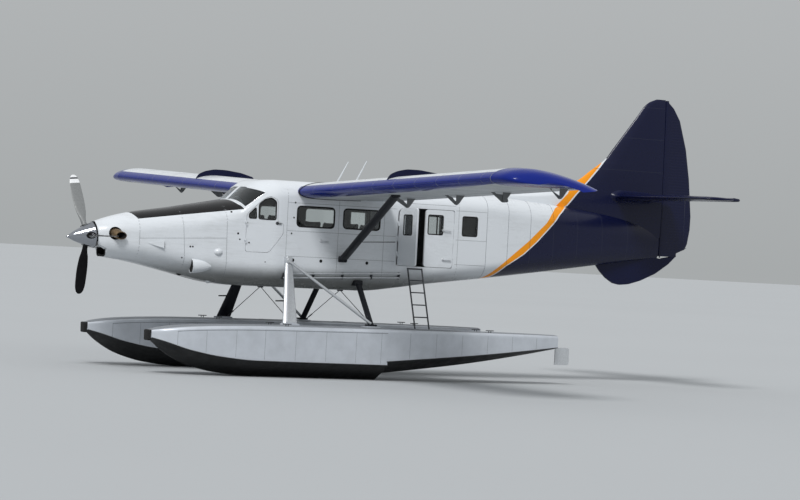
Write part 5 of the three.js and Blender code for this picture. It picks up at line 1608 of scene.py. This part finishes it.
def makeTips():
    bend = np.sin(np.linspace(0, 1, 16) * math.pi / 2)
    y = np.unique(np.append(np.linspace(8200, 8700, 14), 8700 + 145 * bend))
    lead, trail, thick, droop = smoothRows(wing["tipRows"], y).T[:, :, None]
    share = np.linspace(0, 1, 30) ** 1.6
    x = wing["chord"] * np.append(share[::-1], share[1:])
    side = np.repeat([1.0, -1.0], [30, 29])
    span = y[:, None]
    mid = (wingZ(x, span, 1) + wingZ(x, span, -1)) / 2
    z = mid + (wingZ(x, span, side) - mid) * thick - droop
    grid = np.stack([wing["chord"] * lead + x * (trail - lead), span + 0 * z, z], -1)
    makePair("wingTip", [(gridShape(grid), "blue")], replaced="wing_tip_{}", slot="blue_paint", sharp=40)


def flapParts(y0, y1):
    # Round nose under the lip, then the wing's own skins to a thin trailing edge
    upper = [(x, 1, 0) for x in wing["flapTop"]]
    nose = [(x, 1, lift) for x, lift in wing["flapNose"]]
    low = [(x, -1, lift) for x, lift in wing["flapLow"]]
    spans = np.linspace(y0, y1, max(2, int((y1 - y0) / 120)))
    tops = [wingStrip(marks, spans) for marks in (upper, upper[-1:] + nose, [low[-1], upper[0]])]
    return [(tops + [endFaces(upper + nose + low, spans)], "white"),
            (wingStrip(nose[-1:] + low, spans), "underside")]


def hingeArm(y):
    # Arm beside a hanger, and its boss on the hinge line
    low = leadZ(y) - wing["drop"]
    outline = [(1500, float(wingZ(1500, y, -1)) + 12), (1690, float(wingZ(1690, y, -1)) + 12),
               (wing["hinge"] + 44, low + 6), (wing["hinge"], low - 22), (wing["hinge"] - 20, low + 4)]
    return [plate(roundCorners(outline, 20), y + 14, y + 26, 2),
            rod((wing["hinge"], y + 8.7, low), (wing["hinge"], y + 15, low), 12)]


def makeControls():
    for kind in ("flap", "aileron"):
        y0, y1 = wing[kind]
        arms = [shape for y, *_ in wing["brackets"] if y0 < y < y1 for shape in hingeArm(y)]
        makePair(kind, flapParts(y0, y1) + [(arms, "bracket")], kind + "_{}_body", kind + "_{}")


def faired(start, end, first, last, lie, rows=10):
    # A streamlined bar, fuller in front, between two points; first and last are its ends' chord and thickness
    angle, share = roundTurn(28), np.linspace(0, 1, rows)[:, None]
    start, end = np.array(start, float), np.array(end, float)
    chord, thick = [a + (b - a) * share for a, b in zip(first, last)]
    across = np.cos(angle) * chord / 2
    off = np.sin(angle) * thick / 2 * (1 - 0.35 * np.cos(angle))
    away = np.stack([across, off, 0 * off] if lie == "z" else [across, 0 * off, off], -1)
    return gridShape((start + (end - start) * share)[:, None] + away)


wingStrut = {
    "foot": (1030, 895, -1234), "oval": (205, 76),
    "fitting": (940, 1120, 850.3, 905, -1300, -1180, 8), "pin": ((960, 900, -1240), (1100, 900, -1240), 26),
}


def makeStruts():
    x, y = wing["strutTop"]
    top = (x, y, float(wingZ(x, y, -1)) - 18)
    parts = [faired(wingStrut["foot"], top, wingStrut["oval"], wingStrut["oval"], "y"),
             block(*wingStrut["fitting"]), rod(*wingStrut["pin"], count=20)]
    makePair("wingStrut", [(parts, "strutDarkAndShade")], replaced="wing_strut_{}", slot="navy_paint", sharp=40)


wingDetails = {
    "chordSeams": (1450, 2250, 3050, 3860, 4680, 5480, 6280, 7080, 7860), "rows": (260, 620, 980, 1300),
    "spacing": 95, "rootSeal": 872,
}


def sectionLine(y, width, height):
    # A low strip round the wing's section: from the lip on top, over the nose, to the spar below
    run = np.linspace(0, 1, 22) ** 1.8
    x = np.append((wing["lip"] - 6) * run[::-1], (wing["spar"] - 6) * run[1:])
    path = np.stack([x, y + 0 * x, wingZ(x, y, np.repeat([1.0, -1.0], [22, 21]))], 1)
    out = np.cross((0, 1.0, 0), unit(np.gradient(path, axis=0)))
    out *= np.sign(np.sum(out * (path - (600, y, float(wingZ(600, y, 0)))), 1))[:, None]
    return ribbon(path, out, lowStrip(width, height, 2))


def makeWingDetails():
    seams = [sectionLine(wing["tipJoint"] - 3, 12, 1.5)]
    seams += [sectionLine(y, 7, 0.9) for y in wingDetails["chordSeams"]]
    y = np.arange(950, 8150, wingDetails["spacing"])
    rivets = [studs(np.stack([x + 0 * y, y, wingZ(x, y, side) + side * 0.2], 1), (0, 0, side), 5, 1.6)
              for x in wingDetails["rows"] for side in (1, -1)]
    makePair("wingSeams", [(sectionLine(wingDetails["rootSeal"], 46, 9), "rubber"), (seams, "seam"),
                           (rivets, "rivet")], sharp=60)


tailDetails = {"tipJoint": 2292, "seams": (930, 1620), "tab": (-640, 420, 170), "spacing": 60}


def finRing(z, spacing):
    # The fin's section at one height, with its outward directions
    ring = along(finGrid(np.array([float(z)]))[0], spacing)
    return ring, outOf(ring, (0, 0, 1.0))


def makeTailDetails():
    strips, rivets, tabs = [], [], []
    for z in (tailDetails["tipJoint"], *tailDetails["seams"]):
        strips.append(ribbon(*finRing(z, 25), [(-3.5, -1), (-3, 1), (3, 1), (3.5, -1)], closed=True))
        rivets += [studs(*finRing(z + off, tailDetails["spacing"]), 5, 1.5) for off in (18, -18)]
    # The tab's hinge line and ends, drawn on the rudder's sides
    z0, z1, breadth = tailDetails["tab"]
    nose, radius, end, edge = [tail["rudder" + key] for key in ("Hinge", "Nose", "Tail", "Edge")]
    x = end - breadth
    off = radius + (edge - radius) * (x - nose) / (end - nose)
    for side in (-1, 1):
        tabs.append(rod((x, side * off, z0), (x, side * off, z1), 5, count=8))
        tabs += [rod((x, side * off, z), (x + 0.55 * breadth, side * (off - 4), z), 4, count=8)
                 for z in (z0, z1)]
    makePiece("finSeams", [(strips + rivets, "tailSeam")], sharp=60, slot="navy_paint")
    makePiece("rudderTab", [(tabs, "tailSeam")], "rudder_body", sharp=60, slot="navy_paint")


makeWings()
makeTips()
makeControls()
makeStruts()
makeWingDetails()
makeSkinDetails()
makeTailDetails()
print("wings ready")


# Floats: a planing forebody, a step and an afterbody

floats = {
    "y": 1556, "keelFlat": 22, "step": 1500,
    "fore": [  # station, half beam, deck, chine, keel
        (-3330, 130, -2748, -2870, -2905), (-3120, 290, -2706, -2930, -3080),
        (-2650, 430, -2650, -3070, -3330), (-2000, 500, -2612, -3180, -3490),
        (-1300, 520, -2590, -3230, -3550), (1500, 520, -2560, -3240, -3550)],
    "aft": [
        (1480, 516, -2560, -3170, -3440), (3500, 420, -2560, -3000, -3190),
        (4900, 290, -2565, -2860, -2960), (5560, 190, -2575, -2790, -2835)],
    "foreStops": ((-3330, -1300, 40), (-1300, 1500, 20)), "aftStops": ((1480, 5560, 36),),
    "struts": (-370, 1400), "pad": (150, -176, 84, -2600, -2516, 8),     # half length, across, up, bevel
    "lug": [(5540, 5643, -30, 30, -2660, -2640, 3), (5540, 5580, -30, 30, -2700, -2600, 5)],
    "hatches": (-2300, -1500, 600, 2300, 3400, 4400), "hatch": (150, 26, 12, 6),
    "hatchLine": ((-3330, -2000, 1500, 5560), (-2748, -2612, -2560, -2575)),        # stations, deck heights
    "bumper": [(-3400, 0.45, 0.75), (-3392, 0.9, 0.95), (-3372, 1, 1), (-3330.3, 1, 1)],    # station, shares
    "bow": [(-96, -2936), (96, -2936), (112, -2732), (-112, -2732)],
    "rudderPost": 5625, "stockTop": -2660.3, "rudderVane": (5950, -3150, -2800),       # rear, bottom, top
}


def floatPatches(table, stations):
    # Deck, side and bottom of one hull: a crowned deck, a rounded gunwale, a flat side, a flared bottom
    half, deck, chine, keel = smoothRows(table, stations).T[:, :, None]
    x = np.asarray(stations, float)[:, None]
    s = np.linspace(0, 1, 8)
    deckY, deckZ = half * 0.86 * s, deck + 26 - 16 * s ** 2
    a = np.linspace(0, math.pi / 2, 7)
    edgeY = half * 0.86 + half * 0.14 * np.sin(a)
    edgeZ = deck + 10 - 62 * (1 - np.cos(a))
    sideY = half + (half * 0.985 - half) * s
    sideZ = (deck - 52) + (chine - deck + 52) * s
    b = np.linspace(0, 1, 9)
    lowY = half * 0.985 + (floats["keelFlat"] - half * 0.985) * b
    lowZ = chine + (keel - chine) * (b + 0.16 * np.sin(math.pi * b) * (1 - b))
    rail = np.array([(0, 0), (16, -3), (18, -12), (4, -16)])
    chineY = half * 0.985 + rail[:, 0] * np.minimum(1, half / 400)
    chineZ = chine + rail[:, 1]
    keelY = np.concatenate([lowY[:, -1:], 0 * lowY[:, -1:]], 1)
    keelZ = np.concatenate([keel, keel], 1)
    lowY[:, 0], lowZ[:, 0] = chineY[:, -1], chineZ[:, -1]
    lowZ = np.minimum(lowZ, chineZ[:, -1:] - 0.5 * b)
    patches = [(deckY, deckZ, "floatDeck"), (edgeY, edgeZ, "floatSide"), (sideY, sideZ, "floatSide"),
               (chineY, chineZ, "floatBottom"), (lowY, lowZ, "floatBottom"), (keelY, keelZ, "floatBottom")]
    return [(np.stack([x + 0 * y, y, z + 0 * y], -1), key) for y, z, key in patches]


def hullParts(table, stations):
    patches = floatPatches(table, stations)
    parts = [(gridShape(grid * (1, way, 1), around=False, caps=False), key)
             for grid, key in patches for way in (1, -1)]
    # The ends: every patch's first and last row, gathered into one face each
    for end in (0, -1):
        half = np.concatenate([grid[end] for grid, _ in patches])
        ring = np.concatenate([half, half[1:-1][::-1] * (1, -1, 1)])
        keep = np.append(True, np.linalg.norm(np.diff(ring, axis=0), axis=1) > 0.01)
        parts.append(((ring[keep], [list(range(int(keep.sum())))]), "floatSide"))
    return parts


def floatPair(name, parts, **look):
    # Parts drawn round one hull's middle, for both floats
    makePair(name, [(shifted(whole(shape), 0, floats["y"], 0), key) for shape, key in parts], **look)


def makeFloats():
    hull = []
    for key in ("fore", "aft"):
        hull += hullParts(floats[key], spaced(*floats[key + "Stops"]))
    floatPair("floatHull", hull, replaced="float_{}", slot="float_alloy", sharp=40)
    post, angle = floats["rudderPost"], roundTurn(40)
    # Pads under the struts, and the lug that carries the water rudder
    reach, *pad = floats["pad"]
    fittings = [block(x - reach, x + reach, *pad) for x in floats["struts"]]
    fittings += [block(*box) for box in floats["lug"]]
    hatches = []
    # Hatches: radius, the deck's crown, depth below it and height above it
    radius, crown, under, over = floats["hatch"]
    for x in floats["hatches"]:
        level = float(np.interp(x, *floats["hatchLine"])) + crown
        disc = np.stack([x + radius * np.cos(angle), radius * np.sin(angle)], 1)
        hatches.append(plate(disc, level - under, level + over, 3, axis="z"))
    floatPair("floatFittings", [(fittings, "floatSide"), (hatches, "floatDeck")], slot="float_alloy")
    # Bumpers: the bow's outline, drawn in towards the front
    outline = roundCorners(floats["bow"], 30)
    middle = outline.mean(0)
    rings = [np.concatenate([np.full((len(outline), 1), x), middle + (outline - middle) * (wide, tall)], 1)
             for x, wide, tall in floats["bumper"]]
    floatPair("floatBumper", [(gridShape(np.array(rings)), "rubber")], replaced="float_bumper_{}",
              slot="rubber")
    end, bottom, top = floats["rudderVane"]
    vane = plate(roundCorners(rectangle(post, end, bottom, top), 60), -6, 6, 2)
    stock = rod((post, 0, bottom), (post, 0, floats["stockTop"]), 16, count=16)
    floatPair("waterRudder", [([stock, vane], "alloy")],
              body="water_rudder_{}_body", replaced="water_rudder_{}", slot="float_alloy")


floatDetails = {
    "frames": {"fore": (-2900, -2350, -1750, -1150, -500, 150, 800, 1350),
               "aft": (2000, 2600, 3200, 3800, 4400, 5000)},
    "rows": {"fore": (-3120, 1470), "aft": (1540, 5500)},
    "cleats": (-640, 3900), "spacing": 70, "bumperStrip": (-2900, 1480),
}


def hullLine(table, x, share):
    # Points on the hull's side at stations x, at a share of its height from deck edge to chine
    half, deck, chine, _ = smoothRows(table, x).T
    return np.stack([x, half * (1 - 0.015 * share), deck - 52 + (chine - deck + 52) * share], 1)


def makeFloatDetails():
    strips, rivets, cleats = [], [], []
    spacing = floatDetails["spacing"]
    for key, stations in floatDetails["frames"].items():
        table = floats[key]
        for x in stations:
            upper, lower = [hullLine(table, [x], share)[0] for share in (0.0, 0.96)]
            path = upper + (lower - upper) * np.linspace(0, 1, 8)[:, None]
            for way in (-1, 1):
                line = path * (1, way, 1)
                strips.append(ribbon(line, (0, way, 0), [(-4, -1), (-3, 1.2), (3, 1.2), (4, -1)]))
                rivets += [studs(along(line + (off, 0, 0), spacing), (0, way, 0), 5, 2) for off in (-16, 16)]
        for share in (0.05, 0.9):
            row = hullLine(table, np.arange(*floatDetails["rows"][key], spacing), share)
            rivets += [studs(row * (1, way, 1), (0, way, 0), 5, 2) for way in (-1, 1)]
    # Guards along the deck's edge
    edge = hullLine(floats["fore"], np.linspace(*floatDetails["bumperStrip"], 40), 0.02)
    for way in (-1, 1):
        strips.append(ribbon(edge * (1, way, 1), (0, way, 0), [(-8, -2), (-7, 3), (0, 5), (7, 3), (8, -2)]))
    for x in floatDetails["cleats"]:
        half, deck, _, _ = smoothRows(floats["fore" if x < floats["step"] else "aft"], [x])[0]
        for way in (-1, 1):
            y, z = way * half * 0.72, deck + 18
            cleats += [rod((x + at, y, z - 8), (x + at, y, z + 34), 8, count=10) for at in (-24, 24)]
            cleats.append(rod((x - 92, y, z + 38), (x + 92, y, z + 38), 9, count=10))
    floatPair("floatSeams", [(strips, "floatSeam"), (rivets, "floatSide"), (cleats, "steel")],
              slot="float_alloy", sharp=60)


floatStruts = {
    "frontFoot": (-370, 1500, -2515.7), "frontTop": (-184, 945, -1370), "rearFoot": (1410, 1500, -2515.7),
    "rearTop": (1430, 815, -1690), "frontOvals": ((310, 96), (160, 74)), "rearOval": (130, 60),
    "frontFittings": [(-240, -110, 850.3, 960, -1395, -1240, 8),
                      (-480, -260, 1440, 1560, -2515.7, -2490, 6)],
    "rearFittings": [(1340, 1520, 640, 850, -1750, -1640, 8), (1290, 1510, 1440, 1560, -2515.7, -2480, 6)],
    "frontPin": ((-370, 1425, -2500), (-370, 1575, -2500), 14),
    "brace": ((1400, 1500, -2470), (-190, 968, -1322), 28),
    "braceFitting": (-235, -150, 930, 1000, -1365, -1280, 6),
    "peg": ((-390, 1295, -2094), (-600, 1295, -2102), 15, 13),
    "spreaders": {"Front": -370, "Rear": 1400}, "spreaderZ": -2690, "spreaderOval": (120, 50),
    "wires": [((30, -1872), (1435, -2505), 7, 8), ((1180, -2390), (1330, -2458), 13, 10)],
}


def makeFloatStruts():
    row = floatStruts
    front = gathered([faired(row["frontFoot"], row["frontTop"], *row["frontOvals"], "z", 16),
                      *[block(*box) for box in row["frontFittings"]], rod(*row["frontPin"], count=16)])
    # The one to port is bare alloy; the one to starboard, the same strut, is dark enamel as painted shade
    for label, side in sides.items():
        makePiece("floatStrutFront" + label, [(sided(front, side), "alloy" if side < 0 else "strutDarkAndShade")],
                  replaced=("float_strut_front_" + label.lower(),), slot="grey_paint", sharp=40)
    rear = [rod(*row["brace"], count=20), block(*row["braceFitting"])]
    dark = [faired(row["rearFoot"], row["rearTop"], row["rearOval"], row["rearOval"], "z")]
    dark += [block(*box) for box in row["rearFittings"]]
    makePair("strutPeg", [(rod(*row["peg"], 14), "rubber")])
    makePair("floatStrutRear", [(rear, "alloy"), (dark, "strutDarkAndShade")], replaced="float_strut_rear_{}",
             slot="grey_paint", sharp=40)
    reach, z, oval = floats["y"] - 520.3, row["spreaderZ"], row["spreaderOval"]
    for name, x in row["spreaders"].items():
        bar = faired((x, -reach, z), (x, reach, z), oval, oval, "y")
        makePiece("spreaderBar" + name, [(bar, "alloy")], replaced=("spreader_bar_" + name.lower(),),
                  slot="float_alloy", sharp=40)
        wires = [block(x + 20, x + 100, -60, 60, -1880, -1850.3, 4)]
        wires += [rod((x + 60, side * y0, z0), (x + 60, side * y1, z1), radius, count=count)
                  for side in sides.values() for (y0, z0), (y1, z1), radius, count in row["wires"]]
        makePiece("braceWires" + name, [(wires, "steel")], replaced=("brace_wires_" + name.lower(),),
                  slot="steel")


rails = {"bars": [(882, -1578, -1472), (852, -1657, -1552)],     # from the middle, height in front and behind
         "reach": (-240, 2330), "radius": 15, "posts": (-240, 400, 1040, 1680, 2300)}
ladder = {"x": (2480, 2800), "top": (-900, -1345), "foot": (-1336, -2550), "rungs": (0.2, 0.4, 0.6, 0.8),
          "hook": (-905, -1360, 14)}


def makeRails():
    x0, x1 = rails["reach"]
    bars = [rod((x0, y, z0), (x1, y, z1), rails["radius"], count=16) for y, z0, z1 in rails["bars"]]
    (y, *upper), (_, *lower) = rails["bars"]
    posts = []
    for x in rails["posts"]:
        high, low = [float(np.interp(x, (x0, x1), heights)) for heights in (upper, lower)]
        inner = float(skinY(x, low)) - 20
        outline = [(inner, low - 22), (inner + 70, low - 30), (y, high - 20), (y + 12, high + 8),
                   (y - 10, high + 24), (inner, high + 22)]
        posts.append(plate(roundCorners(outline, 14, 4), x, x + 30, 3, axis="x"))
    makePair("stepRail", [(bars, "alloy"), (posts, "steel")], replaced="side_rail_{}", slot="float_alloy")
    (y0, z0), (y1, z1) = ladder["top"], ladder["foot"]
    near, far = ladder["x"]
    rungs = [(y0 + (y1 - y0) * t, z0 + (z1 - z0) * t, 12) for t in ladder["rungs"]] + [ladder["hook"]]
    parts = [rod((x, y0, z0), (x, y1, z1), 16, count=14) for x in ladder["x"]]
    parts += [rod((near, y, z), (far, y, z), radius) for y, z, radius in rungs]
    makePiece("boardingLadder", [(parts, "steel")], replaced=("boarding_ladder",), slot="float_alloy")


makeFloats()
makeFloatDetails()
makeFloatStruts()
makeRails()
print("floats ready")


# Stage: a pale floor, soft sky and a wide soft sun

stage = {"radius": 600, "floor": ("#adb0b2", "#a9acae"), "sky": "#f4f7fa", "horizon": "#c6cacb",
         "skyPower": 0.68, "sunPower": 2.2, "sunAngle": 18, "sunTurn": (40, 0, -40)}


def makeStage():
    angle = roundTurn(96)
    ring = np.stack([np.cos(angle), np.sin(angle), 0 * angle], 1) * stage["radius"]
    mesh = bpy.data.meshes.new("floor")
    mesh.from_pydata(ring.tolist(), [], [list(range(96))])
    floor = bpy.data.objects.new("floor", mesh)
    scene.collection.objects.link(floor)
    material, tree, shader, place = startMaterial("paintedFloor", Roughness=0.85)
    drift = addNode(tree, "TexNoise", {"Vector": place, "Scale": 0.05, "Detail": 2.0})
    pale, dark = [linear(code) for code in stage["floor"]]
    tone = addNode(tree, "Mix", {0: drift, 6: pale, 7: dark}, take=2, data_type="RGBA")
    finishWith(tree, shader, Base_Color=tone)
    mesh.materials.append(material)
    world = bpy.data.worlds.new("softSky")
    scene.world = world
    world.use_nodes = True
    tree = world.node_tree
    background = tree.nodes["Background"]
    height = addNode(tree, "SeparateXYZ", {0: addNode(tree, "TexCoord", take="Generated")}, take=2)
    rise = addNode(tree, "MapRange", {"Value": height, "From Min": 0.0, "From Max": 0.35})
    tone = addNode(tree, "Mix", {0: rise, 6: linear(stage["horizon"]), 7: linear(stage["sky"])}, take=2,
                   data_type="RGBA")
    tree.links.new(tone, background.inputs["Color"])
    background.inputs["Strength"].default_value = stage["skyPower"]
    sun = bpy.data.objects.new("sun", bpy.data.lights.new("sun", "SUN"))
    sun.data.energy = stage["sunPower"]
    sun.data.angle = math.radians(stage["sunAngle"])
    sun.rotation_euler = [math.radians(turn) for turn in stage["sunTurn"]]
    scene.collection.objects.link(sun)


makeStage()
scene.view_settings.view_transform = "Standard"
print("stage ready")
